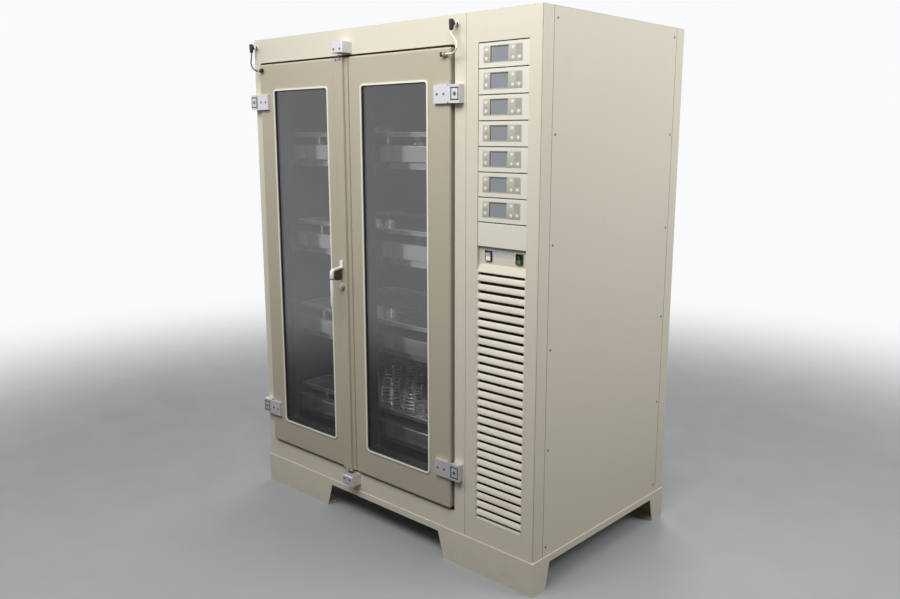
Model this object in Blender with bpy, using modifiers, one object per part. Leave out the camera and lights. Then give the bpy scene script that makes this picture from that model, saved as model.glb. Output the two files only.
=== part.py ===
"""Floor-standing shaking incubator: two glazed doors, a control column and four orbital shaker shelves.

Everything is drawn in the cabinet's own coordinates, in metres: x runs from the left side of the
front, y runs back from the front face and z runs up from the floor. One empty carries it all, so
that the finished part stands centred on its origin. Run: blender --background --python part.py
"""

import math

import bmesh
import bpy
from mathutils import Matrix, Vector

# Fits
GAP = 0.0003  # clearance between pieces that touch
RUN = 0.0005  # running clearance round a shaft, on the radius

# Cabinet
CABINET_WIDTH = 1.356
CABINET_DEPTH = 0.786
CABINET_HEIGHT = 1.750
SHEET = 0.0015  # folded sheet steel
FRAME_DEPTH = 0.049  # depth of the front frame and its corner posts
REAR_DEPTH = 0.048  # depth of the rear panel's corner posts
EDGE_ROUND = 0.006  # rounding of the cabinet's upright front edges
COVER_FOLD = 0.008  # width of the folds round the side covers
SIDE_SEAM = 0.002  # open joint in front of and behind a side cover
COLUMN_JOINT = 0.0015  # open joint between the door frame and the column
LID_HEIGHT = 0.030
VENT_ROWS = 9
VENT_LENGTH = 0.180
VENT_SLOT = 0.008
VENT_PITCH = 0.030
VENT_RISE = 0.089  # lowest vent slot above the plinth

# Plinth with its corner feet
PLINTH_HEIGHT = 0.111
PLINTH_SHEET = 0.0025
PLINTH_RAIL = 0.022  # height of the rail above the cut-outs
PLINTH_STEP = 0.003  # the cabinet stands this far back on the plinth
FRONT_FOOT_TOP = 0.398
FRONT_FOOT_BOTTOM = 0.372
SIDE_FOOT_TOP = 0.084
SIDE_FOOT_BOTTOM = 0.063

# Door opening in the front frame
COLUMN_WIDTH = 0.2785
LEFT_STILE = 0.038
RIGHT_STILE = 0.046
HEADER_HEIGHT = 0.0847
SILL_RAIL = 0.069

# Doors
DOOR_PROUD = 0.012  # the doors stand this far out of the frame
DOOR_GAP = 0.004  # between the two doors
DOOR_EDGE_GAP = 0.010  # to the frame at the hinges and below
DOOR_TOP_GAP = 0.0073
MEETING_OFFSET = 0.01785  # the doors meet this far right of the opening's middle
DOOR_SKIN_DEPTH = 0.024  # the outer part that fills the opening
DOOR_DEPTH = 0.044  # with the narrower inner part
DOOR_WALL = 0.0025
DOOR_PLUG_INSET = 0.008  # the inner part is this much smaller all round
DOOR_CORNER = 0.008
DOOR_ROUND = 0.007
WINDOW_MARGINS_Z = (0.0960, 0.0911)  # door edge to window trim, below and above
LEFT_WINDOW_MARGINS = (0.0848, 0.1018)  # on the left and on the right
RIGHT_WINDOW_MARGINS = (0.0611, 0.0898)
TRIM_BAND = 0.0062
TRIM_WALL = 0.003
TRIM_PROUD = 0.003
TRIM_RADIUS = 0.016
TRIM_DEPTH = 0.040
GLASS_INSET = 0.003  # behind the door's face
GLASS_THICKNESS = 0.004
GASKET_WIDTH = 0.010
GASKET_INSET = 0.001

# Hinges
HINGE_HEIGHT = 0.055
HINGE_THICKNESS = 0.022  # in front of the frame
HINGE_AXIS_Y = -0.0175
HINGE_AXIS_OUTSET = -0.005  # pin line inside the edge of the door opening
HINGE_LEAF = 0.064  # from the pin line over the door
HINGE_PAD = 0.035  # the block on the frame
HINGE_PAD_OFFSET = 0.0062  # from the pin line to the block
HINGE_PIN_R = 0.0025
HINGE_KNUCKLE_R = 0.0044
HINGE_TAB = 0.004  # thickness of the tabs that hold the pin
HINGE_TAB_R = 0.0043
HINGE_NOTCH = 0.0065
TOP_HINGE_DROP = 0.1438  # from the top of the opening
BOTTOM_HINGE_RISE = 0.1470

# Lock on the left door
COVER_WIDTH = 0.044
COVER_PROUD = 0.022
COVER_SETBACK = 0.0141  # from the left door's free edge
COVER_WALL = 0.002
COVER_END = 0.004
COVER_TOP_INSET = 0.0025  # below the door's upper edge
COVER_OVERHANG = 0.0035  # below the door's lower edge
ROD_R = 0.003
ROD_Y = -0.0162
ROD_CLEARANCE = 0.004  # rod end to keeper when unlocked
ROD_STROKE = 0.020
CAM_R = 0.0095
CAM_THICKNESS = 0.006
CAM_ROD_GAP = 0.0005
SPINDLE_R = 0.006
HANDLE_RISE = 0.0253  # spindle above the middle of the opening
HANDLE_REACH = 0.070  # from the door face to the middle of the grip
HANDLE_BEND = 0.016
HANDLE_R = 0.007
GRIP_SWELL = 1.2
GRIP_DROP = 0.134  # from the spindle to the end of the grip
WEB_DROP = 0.048  # depth of the lever's web at the door
WEB_RISE = 0.019  # its tail above the spindle
WEB_THICKNESS = 0.008
ROSE_R = 0.014
ROSE_THICKNESS = 0.006
KEY_DROP = 0.070
KEY_COLLAR_R = 0.012
KEY_COLLAR_PROUD = 0.012
KEY_R = 0.008
KEY_PROUD = 0.003
KEY_SLOT = 0.0016
KEEPER_OFFSET = 0.0045  # from the keeper's left side to the rods
KEEPER_WIDTH = 0.053
KEEPER_PROUD = 0.042
KEEPER_HEIGHT = 0.036
KEEPER_GAP = 0.004  # between a keeper and the edge of the door opening
KEEPER_HOLE = 0.025

# Control column
COLUMN_MARGINS = (0.0465, 0.046)  # fascia left and right of the modules
MODULE_DROP = 0.087  # from the top of the cabinet
MODULE_PITCH = 0.0741
MODULE_ROWS = 8  # seven displays over a blank
MODULE_GAP = 0.0026  # open joint between modules
MODULE_RECESS = 0.0015
MODULE_FACE = 0.006
MODULE_BODY_MARGIN = 0.023
MODULE_BODY_HEIGHT = 0.052
MODULE_BODY_DEPTH = 0.070
BLANK_BODY_DEPTH = 0.010
KEYPAD_MARGINS = (0.018, 0.024)  # face left and right of the keypad
KEYPAD_BOTTOM = 0.0135
KEYPAD_HEIGHT = 0.0480
KEYPAD_DEEP = 0.0006
DISPLAY_X = 0.050
DISPLAY_WIDTH = 0.060
DISPLAY_DEEP = 0.0018
DISPLAY_MARGIN = 0.002
RAIL_WIDTH = 0.009
SWITCH_HEIGHT = 0.052  # upright part of the switch recess
SWITCH_RECESS = 0.012
SILL_HEIGHT = 0.0235  # sloping ledge under the switches
SWITCH_DROP = 0.0262  # from the modules to the middle of the rockers
SWITCH_INSETS = (0.0374, 0.0308)  # rockers from the left and the right of the recess
ROCKER_WIDTH = 0.0175
ROCKER_HEIGHT = 0.0235
ROCKER_FRAME = 0.0026
ROCKER_FRAME_PROUD = 0.003
ROCKER_TILT = 9.0  # degrees from the middle to each position
ROCKER_PIVOT = 0.007  # behind the switch plate's face
ROCKER_CLEARANCE = 0.0012

# Louvre
LOUVRE_RISE = 0.072  # from the plinth
LOUVRE_SILL = 0.0106
LOUVRE_PITCH = 0.02824
LOUVRE_SLOT = 0.0078
LOUVRE_LEAN = 0.004  # how far a slat's top leans back
LOUVRE_DEPTH = 0.012
LOUVRE_STILE = 0.002

# Chamber
CHAMBER_INSET_X = 0.036  # inside the door opening
CHAMBER_INSET_Z = 0.040
CHAMBER_BACK_GAP = 0.096  # from the back of the cabinet
LINER_SHEET = 0.0015
LINER_FLANGE_EDGE = 0.010
BRACKET_WIDTH = 0.014
BRACKET_THICKNESS = 0.004

# Shaker shelves
SHELF_COUNT = 4
LOWEST_SHELF = 0.154  # top of the lowest housing above the chamber's floor
SHELF_SPARE = 0.0813  # chamber height less this is shared by the shelves
HOUSING_HEIGHT = 0.080
HOUSING_FRONT_GAP = 0.031  # behind the front frame
HOUSING_BACK_GAP = 0.050
HOUSING_LIP = 0.054  # height of the front flange
HOUSING_LIP_STEP = 0.018
HOUSING_SHEET = 0.002
BOSS_R = 0.045
BOSS_HEIGHT = 0.006
BEARING_R = 0.030
BEARING_DEPTH = 0.034
SHAFT_R = 0.0115
SHAFT_LENGTH = 0.028
CRANK_R = 0.060
CRANK_THICKNESS = 0.008
ORBIT_R = 0.0125  # throw of the eccentric pin
ECCENTRIC_R = 0.0095
ECCENTRIC_LENGTH = 0.0110
HUB_R = 0.022
DECK_LIFT = 0.028  # from the housing to the underside of the deck
DECK_THICKNESS = 0.003
DECK_SIDE_GAP = 0.029  # room for the orbit at each side
DECK_END_GAP = 0.030
DECK_RIM = 0.014
DECK_RIM_SHEET = 0.002
SUPPORT_R = 0.014
SUPPORT_INSET = 0.070
MOTOR_R = 0.040
MOTOR_HEIGHT = 0.055
MOTOR_OFFSET = 0.230

# Air circulation and cooling
FAN_DROP = 0.117  # below the chamber's ceiling
FAN_R = 0.075
FAN_HUB_R = 0.020
FAN_SHAFT_R = 0.005
FAN_DEPTH = 0.024
FAN_BLADES = 6
FAN_PITCH = 32  # degrees
FAN_CHORD = 0.038
FAN_BLADE = 0.002
FAN_BOSS_R = 0.028
FAN_BOSS_DEPTH = 0.030
COMPRESSOR_BACK_GAP = 0.306
COMPRESSOR_R = 0.085
COMPRESSOR_HEIGHT = 0.200
COMPRESSOR_WALL = 0.016
COMPRESSOR_FOOT = 0.105

# Door leads
LEAD_R = 0.0027
PLUG_FLANGE_R = 0.010
PLUG_R = 0.0072
PLUG_REACH = 0.033
PLUG_DROP = 0.020
PLUG_INSET_Z = 0.028  # below the top of the cabinet
LEFT_PLUG_INSET = 0.016  # outside the door opening
RIGHT_PLUG_INSET = 0.009
GLAND_R = 0.007
GLAND_LENGTH = 0.016
GLAND_OUT = 0.0075  # gland's middle in front of the door's face
GLAND_INSET_Z = 0.0215  # below the top of the door
LEFT_GLAND_INSET = 0.0200  # from the hinged edge of the door
RIGHT_GLAND_INSET = 0.0202

# Worked out from the sizes above
COLUMN_SEAM = CABINET_WIDTH - COLUMN_WIDTH
OPENING_LEFT = LEFT_STILE
OPENING_RIGHT = COLUMN_SEAM - RIGHT_STILE
OPENING_BOTTOM = PLINTH_HEIGHT + SILL_RAIL
OPENING_TOP = CABINET_HEIGHT - HEADER_HEIGHT
CASE_BOTTOM = PLINTH_HEIGHT + GAP
GRIP_FRONT = HANDLE_REACH + HANDLE_R * GRIP_SWELL
FRONT_Y = (GRIP_FRONT - CABINET_DEPTH - PLINTH_STEP) / 2
CABINET_CORNER = Vector((-CABINET_WIDTH / 2, FRONT_Y, 0))
MEETING_X = (OPENING_LEFT + OPENING_RIGHT) / 2 + MEETING_OFFSET
DOOR_FACE = -DOOR_PROUD
DOOR_LEFT = OPENING_LEFT + DOOR_EDGE_GAP
DOOR_RIGHT = OPENING_RIGHT - DOOR_EDGE_GAP
DOOR_BOTTOM = OPENING_BOTTOM + DOOR_EDGE_GAP
DOOR_TOP = OPENING_TOP - DOOR_TOP_GAP
LEFT_DOOR_EDGE = MEETING_X - DOOR_GAP / 2
RIGHT_DOOR_EDGE = MEETING_X + DOOR_GAP / 2
LEFT_HINGE_X = OPENING_LEFT - HINGE_AXIS_OUTSET
RIGHT_HINGE_X = OPENING_RIGHT + HINGE_AXIS_OUTSET
HINGE_LEVELS = {"top": OPENING_TOP - TOP_HINGE_DROP, "bottom": OPENING_BOTTOM + BOTTOM_HINGE_RISE}
COVER_RIGHT = LEFT_DOOR_EDGE - COVER_SETBACK
COVER_X = COVER_RIGHT - COVER_WIDTH
ROD_X = COVER_RIGHT - COVER_WIDTH / 2
COVER_TOP = DOOR_TOP - COVER_TOP_INSET
COVER_BOTTOM = DOOR_BOTTOM - COVER_OVERHANG
HANDLE_Z = (OPENING_BOTTOM + OPENING_TOP) / 2 + HANDLE_RISE
KEY_Z = HANDLE_Z - KEY_DROP
KEEPER_X = ROD_X - KEEPER_OFFSET
TOP_KEEPER_Z = OPENING_TOP + KEEPER_GAP
BOTTOM_KEEPER_Z = OPENING_BOTTOM - KEEPER_GAP
COLUMN_LEFT = COLUMN_SEAM + COLUMN_MARGINS[0]
COLUMN_RIGHT = CABINET_WIDTH - COLUMN_MARGINS[1]
MODULE_TOP = CABINET_HEIGHT - MODULE_DROP
MODULE_BOTTOM = MODULE_TOP - MODULE_ROWS * MODULE_PITCH
SWITCH_BOTTOM = MODULE_BOTTOM - SWITCH_HEIGHT
SWITCH_Z = MODULE_BOTTOM - SWITCH_DROP
SWITCH_X = {"power_rocker": COLUMN_LEFT + SWITCH_INSETS[0], "lamp_rocker": COLUMN_RIGHT - SWITCH_INSETS[1]}
LOUVRE_TOP = SWITCH_BOTTOM - SILL_HEIGHT
LOUVRE_BOTTOM = PLINTH_HEIGHT + LOUVRE_RISE
LOUVRE_SLOTS = int((LOUVRE_TOP - LOUVRE_BOTTOM - LOUVRE_SILL) / LOUVRE_PITCH) + 1
CHAMBER_LEFT = OPENING_LEFT + CHAMBER_INSET_X
CHAMBER_RIGHT = OPENING_RIGHT - CHAMBER_INSET_X
CHAMBER_MIDDLE = (CHAMBER_LEFT + CHAMBER_RIGHT) / 2
CHAMBER_BOTTOM = OPENING_BOTTOM + CHAMBER_INSET_Z
CHAMBER_TOP = OPENING_TOP - CHAMBER_INSET_Z
CHAMBER_BACK = CABINET_DEPTH - CHAMBER_BACK_GAP
SHELF_PITCH = (CHAMBER_TOP - CHAMBER_BOTTOM - SHELF_SPARE) / SHELF_COUNT
SHELF_TOPS = [CHAMBER_BOTTOM + LOWEST_SHELF + i * SHELF_PITCH for i in reversed(range(SHELF_COUNT))]
HOUSING_FRONT = FRAME_DEPTH + HOUSING_FRONT_GAP
HOUSING_BACK = CHAMBER_BACK - HOUSING_BACK_GAP
SHELF_Y = (HOUSING_FRONT + HOUSING_BACK) / 2
DECK_WIDTH = CHAMBER_RIGHT - CHAMBER_LEFT - 2 * DECK_SIDE_GAP
DECK_DEPTH = HOUSING_BACK - HOUSING_FRONT - 2 * DECK_END_GAP
FAN_X = CHAMBER_MIDDLE
FAN_Z = CHAMBER_TOP - FAN_DROP
COMPRESSOR_X = COLUMN_SEAM + COLUMN_WIDTH / 2
COMPRESSOR_Y = CABINET_DEPTH - COMPRESSOR_BACK_GAP
PLUG_Z = CABINET_HEIGHT - PLUG_INSET_Z
LEFT_PLUG_X = OPENING_LEFT - LEFT_PLUG_INSET
RIGHT_PLUG_X = OPENING_RIGHT + RIGHT_PLUG_INSET
GLAND_Y = DOOR_FACE - GLAND_OUT
GLAND_Z = DOOR_TOP - GLAND_INSET_Z
LEFT_GLAND_X = DOOR_LEFT + LEFT_GLAND_INSET
RIGHT_GLAND_X = DOOR_RIGHT - RIGHT_GLAND_INSET

# Colours as (red, green, blue), roughness, metallic
FINISHES = {
    "cabinet_paint": ((0.70, 0.67, 0.56), 0.45, 0.0),
    "door_paint": ((0.48, 0.43, 0.34), 0.45, 0.0),
    "ivory_trim": ((0.84, 0.81, 0.72), 0.40, 0.0),
    "module_face": ((0.76, 0.73, 0.63), 0.45, 0.0),
    "stainless": ((0.52, 0.53, 0.54), 0.35, 0.9),
    "satin_metal": ((0.75, 0.73, 0.76), 0.30, 0.9),
    "platform_metal": ((0.66, 0.67, 0.68), 0.35, 0.9),
    "glass": ((0.62, 0.65, 0.67), 0.05, 0.0),
    "rubber": ((0.05, 0.05, 0.05), 0.70, 0.0),
    "black_plastic": ((0.03, 0.03, 0.03), 0.45, 0.0),
    "black_paint": ((0.03, 0.03, 0.03), 0.40, 0.0),
    "white_plastic": ((0.85, 0.84, 0.80), 0.40, 0.0),
    "green_lens": ((0.10, 0.65, 0.25), 0.30, 0.0),
    "steel": ((0.30, 0.30, 0.31), 0.45, 0.9),
}

parts = None
cutters = None
cabinet = None
finishes = {}


def start_scene():
    """Empties the file and makes the collections, the materials and the cabinet's empty."""
    global parts, cutters, cabinet
    for old in list(bpy.data.objects):
        bpy.data.objects.remove(old)
    parts = bpy.data.collections.new("shaking_incubator")
    cutters = bpy.data.collections.new("cutters")
    bpy.context.scene.collection.children.link(parts)
    bpy.context.scene.collection.children.link(cutters)
    for name, (colour, roughness, metallic) in FINISHES.items():
        finish = bpy.data.materials.new(name)
        finish.use_nodes = True
        shader = finish.node_tree.nodes["Principled BSDF"]
        shader.inputs["Base Color"].default_value = (*colour, 1)
        shader.inputs["Roughness"].default_value = roughness
        shader.inputs["Metallic"].default_value = metallic
        finishes[name] = finish
    cabinet = bpy.data.objects.new("cabinet_frame", None)
    cabinet.location = CABINET_CORNER
    parts.objects.link(cabinet)


def add_object(name, mesh, finish=None):
    """An object in cabinet coordinates. Without a finish it is a tool for cutting or joining."""
    piece = bpy.data.objects.new(name, mesh)
    piece.parent = cabinet
    if finish:
        mesh.materials.append(finishes[finish])
        parts.objects.link(piece)
    else:
        piece.hide_render = True
        piece.display_type = "WIRE"
        cutters.objects.link(piece)
    return piece


def mesh_from(bm, name):
    bmesh.ops.recalc_face_normals(bm, faces=bm.faces)
    mesh = bpy.data.meshes.new(name)
    bm.to_mesh(mesh)
    bm.free()
    return mesh


def box(name, low, high, finish=None):
    """A rectangular block between two corners."""
    bm = bmesh.new()
    size = [b - a for a, b in zip(low, high)]
    middle = [(a + b) / 2 for a, b in zip(low, high)]
    place = Matrix.Translation(middle) @ Matrix.Diagonal((*size, 1))
    bmesh.ops.create_cube(bm, size=1, matrix=place)
    return add_object(name, mesh_from(bm, name), finish)


def rounded_box(name, low, high, corner, edge, finish=None, steps=3):
    """A block whose four edges along y are rounded by corner, and its front outline by edge."""
    bm = bmesh.new()
    size = [b - a for a, b in zip(low, high)]
    middle = [(a + b) / 2 for a, b in zip(low, high)]
    place = Matrix.Translation(middle) @ Matrix.Diagonal((*size, 1))
    bmesh.ops.create_cube(bm, size=1, matrix=place)
    if corner:
        along = [e for e in bm.edges if abs(e.verts[0].co.y - e.verts[1].co.y) > size[1] / 2]
        bmesh.ops.bevel(bm, geom=along, offset=corner, segments=steps, profile=0.5, affect="EDGES")
    if edge:
        front = [e for e in bm.edges if all(abs(v.co.y - low[1]) < 1e-6 for v in e.verts)]
        bmesh.ops.bevel(bm, geom=front, offset=edge, segments=steps, profile=0.5, affect="EDGES")
    return add_object(name, mesh_from(bm, name), finish)


def cylinder(name, centre, radius, start, end, axis="Z", finish=None, sides=24, top_radius=None):
    """A round bar along an axis. centre holds its two other coordinates, in X, Y, Z order."""
    bm = bmesh.new()
    quarter = math.pi / 2
    turn = {"X": Matrix.Rotation(quarter, 4, "Y"), "Y": Matrix.Rotation(-quarter, 4, "X"), "Z": Matrix()}
    middle = list(centre)
    middle.insert("XYZ".index(axis), (start + end) / 2)
    place = Matrix.Translation(middle) @ turn[axis]
    far = radius if top_radius is None else top_radius
    bmesh.ops.create_cone(
        bm, cap_ends=True, segments=sides, radius1=radius, radius2=far, depth=end - start, matrix=place
    )
    piece = add_object(name, mesh_from(bm, name), finish)
    smooth(piece)
    return piece


def rounded_outline(x0, z0, x1, z1, radius, steps=4):
    """The corners of a rectangle with round corners, anticlockwise."""
    points = []
    left, right, low, high = x0 + radius, x1 - radius, z0 + radius, z1 - radius
    for quarter, (cx, cz) in enumerate(((right, high), (left, high), (left, low), (right, low))):
        for step in range(steps + 1):
            angle = math.pi / 2 * (quarter + step / steps)
            points.append((cx + radius * math.cos(angle), cz + radius * math.sin(angle)))
    return points


def arc(cx, cy, radius, first, last, steps):
    """Points on a circle from one angle to another, in degrees."""
    turns = [math.radians(first + (last - first) * i / steps) for i in range(steps + 1)]
    return [(cx + radius * math.cos(a), cy + radius * math.sin(a)) for a in turns]


def plate(name, outlines, axis, start, end, finish=None):
    """A flat outline, with any holes, given thickness along an axis.

    The outline's two coordinates are (y, z) for X, (x, z) for Y and (x, y) for Z.
    """
    data = bpy.data.curves.new(name, "CURVE")
    data.dimensions = "2D"
    data.fill_mode = "BOTH"
    data.extrude = (end - start) / 2
    for outline in outlines:
        spline = data.splines.new("POLY")
        spline.points.add(len(outline) - 1)
        for point, (u, v) in zip(spline.points, outline):
            point.co = (u, v, 0, 1)
        spline.use_cyclic_u = True
    curve = bpy.data.objects.new(name, data)
    parts.objects.link(curve)
    bpy.context.view_layer.update()
    mesh = bpy.data.meshes.new_from_object(curve.evaluated_get(bpy.context.evaluated_depsgraph_get()))
    bpy.data.objects.remove(curve)
    rows = {
        "X": ((0, 0, 1, 0), (1, 0, 0, 0), (0, 1, 0, 0), (0, 0, 0, 1)),
        "Y": ((1, 0, 0, 0), (0, 0, -1, 0), (0, 1, 0, 0), (0, 0, 0, 1)),
        "Z": ((1, 0, 0, 0), (0, 1, 0, 0), (0, 0, 1, 0), (0, 0, 0, 1)),
    }
    middle = Vector((0, 0, 0))
    middle["XYZ".index(axis)] = (start + end) / 2
    mesh.transform(Matrix.Translation(middle) @ Matrix(rows[axis]))
    mesh.materials.clear()
    bm = bmesh.new()
    bm.from_mesh(mesh)
    bmesh.ops.remove_doubles(bm, verts=bm.verts, dist=1e-6)
    bpy.data.meshes.remove(mesh)
    return add_object(name, mesh_from(bm, name), finish)


def tube(name, path, radius, finish=None, swell=None, resolution=2):
    """A round bar along a path. swell gives each point its share of the radius."""
    data = bpy.data.curves.new(name, "CURVE")
    data.dimensions = "3D"
    data.bevel_depth = radius
    data.bevel_resolution = resolution
    data.use_fill_caps = True
    spline = data.splines.new("POLY")
    spline.points.add(len(path) - 1)
    for i, (point, place) in enumerate(zip(spline.points, path)):
        point.co = (*place, 1)
        point.radius = swell[i] if swell else 1
    curve = bpy.data.objects.new(name, data)
    parts.objects.link(curve)
    bpy.context.view_layer.update()
    mesh = bpy.data.meshes.new_from_object(curve.evaluated_get(bpy.context.evaluated_depsgraph_get()))
    bpy.data.objects.remove(curve)
    mesh.materials.clear()
    bm = bmesh.new()
    bm.from_mesh(mesh)
    bmesh.ops.remove_doubles(bm, verts=bm.verts, dist=1e-6)
    bpy.data.meshes.remove(mesh)
    piece = add_object(name, mesh_from(bm, name), finish)
    smooth(piece)
    return piece


def smooth(piece, angle=35):
    piece.data.shade_smooth()
    piece.data.set_sharp_from_angle(angle=math.radians(angle))


def combine(piece, other, operation):
    step = piece.modifiers.new(other.name, "BOOLEAN")
    step.operation = operation
    step.solver = "EXACT"
    step.object = other
    return piece


def cut(piece, *others):
    for other in others:
        combine(piece, other, "DIFFERENCE")
    return piece


def join(piece, *others):
    for other in others:
        combine(piece, other, "UNION")
    return piece


def pivot(name, place):
    """An empty on a joint's axis, for the pieces that move with it."""
    empty = bpy.data.objects.new(name, None)
    empty.location = place
    empty.parent = cabinet
    parts.objects.link(empty)
    return empty


def carry(empty, *pieces):
    """Hangs pieces on an empty. They stay where they are."""
    for piece in pieces:
        piece.data.transform(Matrix.Translation(-empty.location))
        piece.parent = empty


def curve_through(points, per_span):
    """A smooth run of points through the given ones, as a Catmull-Rom spline."""
    ends = [2 * points[0] - points[1], *points, 2 * points[-1] - points[-2]]
    run = []
    for i in range(1, len(ends) - 2):
        a, b, c, d = ends[i - 1 : i + 3]
        for step in range(per_span):
            t = step / per_span
            run.append(
                0.5
                * (
                    2 * b
                    + (c - a) * t
                    + (2 * a - 5 * b + 4 * c - d) * t**2
                    + (3 * b - a - 3 * c + d) * t**3
                )
            )
    return run + [points[-1]]


def make_plinth():
    """Closed base with a deck on top and a floor below, cut away to leave four corner feet."""
    out = PLINTH_STEP
    low = (-out, -out, 0)
    high = (CABINET_WIDTH + out, CABINET_DEPTH + out, PLINTH_HEIGHT)
    plinth = box("base_plinth", low, high, "cabinet_paint")
    wall = PLINTH_SHEET
    room_high = [v - wall for v in high]
    cut(plinth, box("plinth_room", [v + wall for v in low], room_high))
    top = PLINTH_HEIGHT - PLINTH_RAIL
    below = -0.01
    slope = (FRONT_FOOT_TOP - FRONT_FOOT_BOTTOM) / top
    start = FRONT_FOOT_BOTTOM + slope * below
    far = CABINET_WIDTH
    front = [(start, below), (far - start, below), (far - FRONT_FOOT_TOP, top), (FRONT_FOOT_TOP, top)]
    cut(plinth, plate("front_cut", [front], "Y", -0.05, CABINET_DEPTH + 0.05))
    slope = (SIDE_FOOT_TOP - SIDE_FOOT_BOTTOM) / top
    start = SIDE_FOOT_BOTTOM + slope * below
    far = CABINET_DEPTH
    side = [(start, below), (far - start, below), (far - SIDE_FOOT_TOP, top), (SIDE_FOOT_TOP, top)]
    cut(plinth, plate("side_cut", [side], "X", -0.05, CABINET_WIDTH + 0.05))


def make_door_frame():
    """Folded frame round the doors, a channel that is open at the back."""
    low = (0, 0, CASE_BOTTOM)
    high = (COLUMN_SEAM - COLUMN_JOINT, FRAME_DEPTH, CABINET_HEIGHT)
    outer = rounded_outline(low[0], low[2], high[0], high[2], SHEET / 2, 1)
    opening = rounded_outline(OPENING_LEFT, OPENING_BOTTOM, OPENING_RIGHT, OPENING_TOP, DOOR_CORNER, 3)
    frame = plate("door_frame", [outer, opening], "Y", low[1], high[1], "cabinet_paint")
    room = rounded_outline(low[0] + SHEET, low[2] + SHEET, high[0] - SHEET, high[2] - SHEET, SHEET, 1)
    back = rounded_outline(
        OPENING_LEFT - SHEET,
        OPENING_BOTTOM - SHEET,
        OPENING_RIGHT + SHEET,
        OPENING_TOP + SHEET,
        DOOR_CORNER,
        3,
    )
    cut(frame, plate("frame_room", [room, back], "Y", SHEET, FRAME_DEPTH + 0.01))
    over = CABINET_HEIGHT + 0.01
    round_off = box("frame_edge", (-0.01, -0.01, 0), (EDGE_ROUND, EDGE_ROUND, over))
    keep = cylinder("frame_edge_round", (EDGE_ROUND, EDGE_ROUND), EDGE_ROUND, -0.01, over + 0.01, sides=24)
    cut(round_off, keep)
    cut(frame, round_off)


def make_column():
    """Control column: folded front with one tall opening, module rails and the switch recess."""
    left = COLUMN_SEAM
    low = (left, 0, CASE_BOTTOM)
    high = (CABINET_WIDTH, FRAME_DEPTH, CABINET_HEIGHT)
    column = box("column_fascia", low, high, "cabinet_paint")
    room_low = (left + SHEET, SHEET, CASE_BOTTOM + SHEET)
    room_high = (CABINET_WIDTH - SHEET, FRAME_DEPTH + 0.01, CABINET_HEIGHT - SHEET)
    cut(column, box("column_room", room_low, room_high))
    opening_low = (COLUMN_LEFT - GAP, -0.01, LOUVRE_BOTTOM - GAP)
    opening_high = (COLUMN_RIGHT + GAP, SHEET + 0.001, MODULE_TOP + GAP)
    cut(column, box("column_opening", opening_low, opening_high))
    for side, x in ((-1, COLUMN_LEFT - GAP), (1, COLUMN_RIGHT + GAP)):
        ledge_y = MODULE_RECESS + MODULE_FACE + GAP
        web = sorted((x + side * RAIL_WIDTH, x + side * (RAIL_WIDTH - SHEET)))
        lip = sorted((x + side * RAIL_WIDTH, x - side * RAIL_WIDTH))
        z0, z1 = MODULE_BOTTOM + 0.004, MODULE_TOP
        join(column, box(f"rail_web_{side}", (web[0], SHEET / 2, z0), (web[1], ledge_y + SHEET, z1)))
        join(column, box(f"rail_lip_{side}", (lip[0], ledge_y, z0), (lip[1], ledge_y + SHEET, z1)))
    back = SWITCH_RECESS
    lap = 0.0005
    tray = [
        (back, MODULE_BOTTOM - GAP - lap),
        (back, SWITCH_BOTTOM),
        (lap, LOUVRE_TOP + GAP),
        (SHEET + lap, LOUVRE_TOP + GAP),
        (back + SHEET, SWITCH_BOTTOM - SHEET / 2),
        (back + SHEET, MODULE_BOTTOM - GAP - lap),
    ]
    for side, x in ((-1, COLUMN_LEFT - GAP), (1, COLUMN_RIGHT + GAP)):
        wall = sorted((x + side * lap, x + side * (lap + SHEET)))
        top = MODULE_BOTTOM - GAP
        deep = back + SHEET + lap
        cheek = [(lap * 2, LOUVRE_TOP), (deep, SWITCH_BOTTOM - SHEET), (deep, top), (lap * 2, top)]
        join(column, plate(f"switch_cheek_{side}", [cheek], "X", *wall))
    reach = GAP + lap + SHEET / 2
    join(column, plate("switch_tray", [tray], "X", COLUMN_LEFT - reach, COLUMN_RIGHT + reach))
    for name, x in SWITCH_X.items():
        half_w = ROCKER_WIDTH / 2 + ROCKER_CLEARANCE
        half_h = ROCKER_HEIGHT / 2 + ROCKER_CLEARANCE
        rim = ROCKER_FRAME
        low = (x - half_w - rim, back - ROCKER_FRAME_PROUD, SWITCH_Z - half_h - rim)
        high = (x + half_w + rim, back + SHEET / 2, SWITCH_Z + half_h + rim)
        join(column, rounded_box(f"{name}_frame", low, high, 0.002, 0.001, steps=1))
        hole_low = (x - half_w, back - 0.02, SWITCH_Z - half_h)
        hole_high = (x + half_w, back + 0.02, SWITCH_Z + half_h)
        cut(column, box(f"{name}_hole", hole_low, hole_high))
    x = CABINET_WIDTH
    over = CABINET_HEIGHT + 0.01
    round_off = box("column_edge", (x - EDGE_ROUND, -0.01, 0), (x + 0.01, EDGE_ROUND, over))
    centre = (x - EDGE_ROUND, EDGE_ROUND)
    keep = cylinder("column_edge_round", centre, EDGE_ROUND, -0.01, over + 0.01, sides=24)
    cut(round_off, keep)
    cut(column, round_off)


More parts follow.
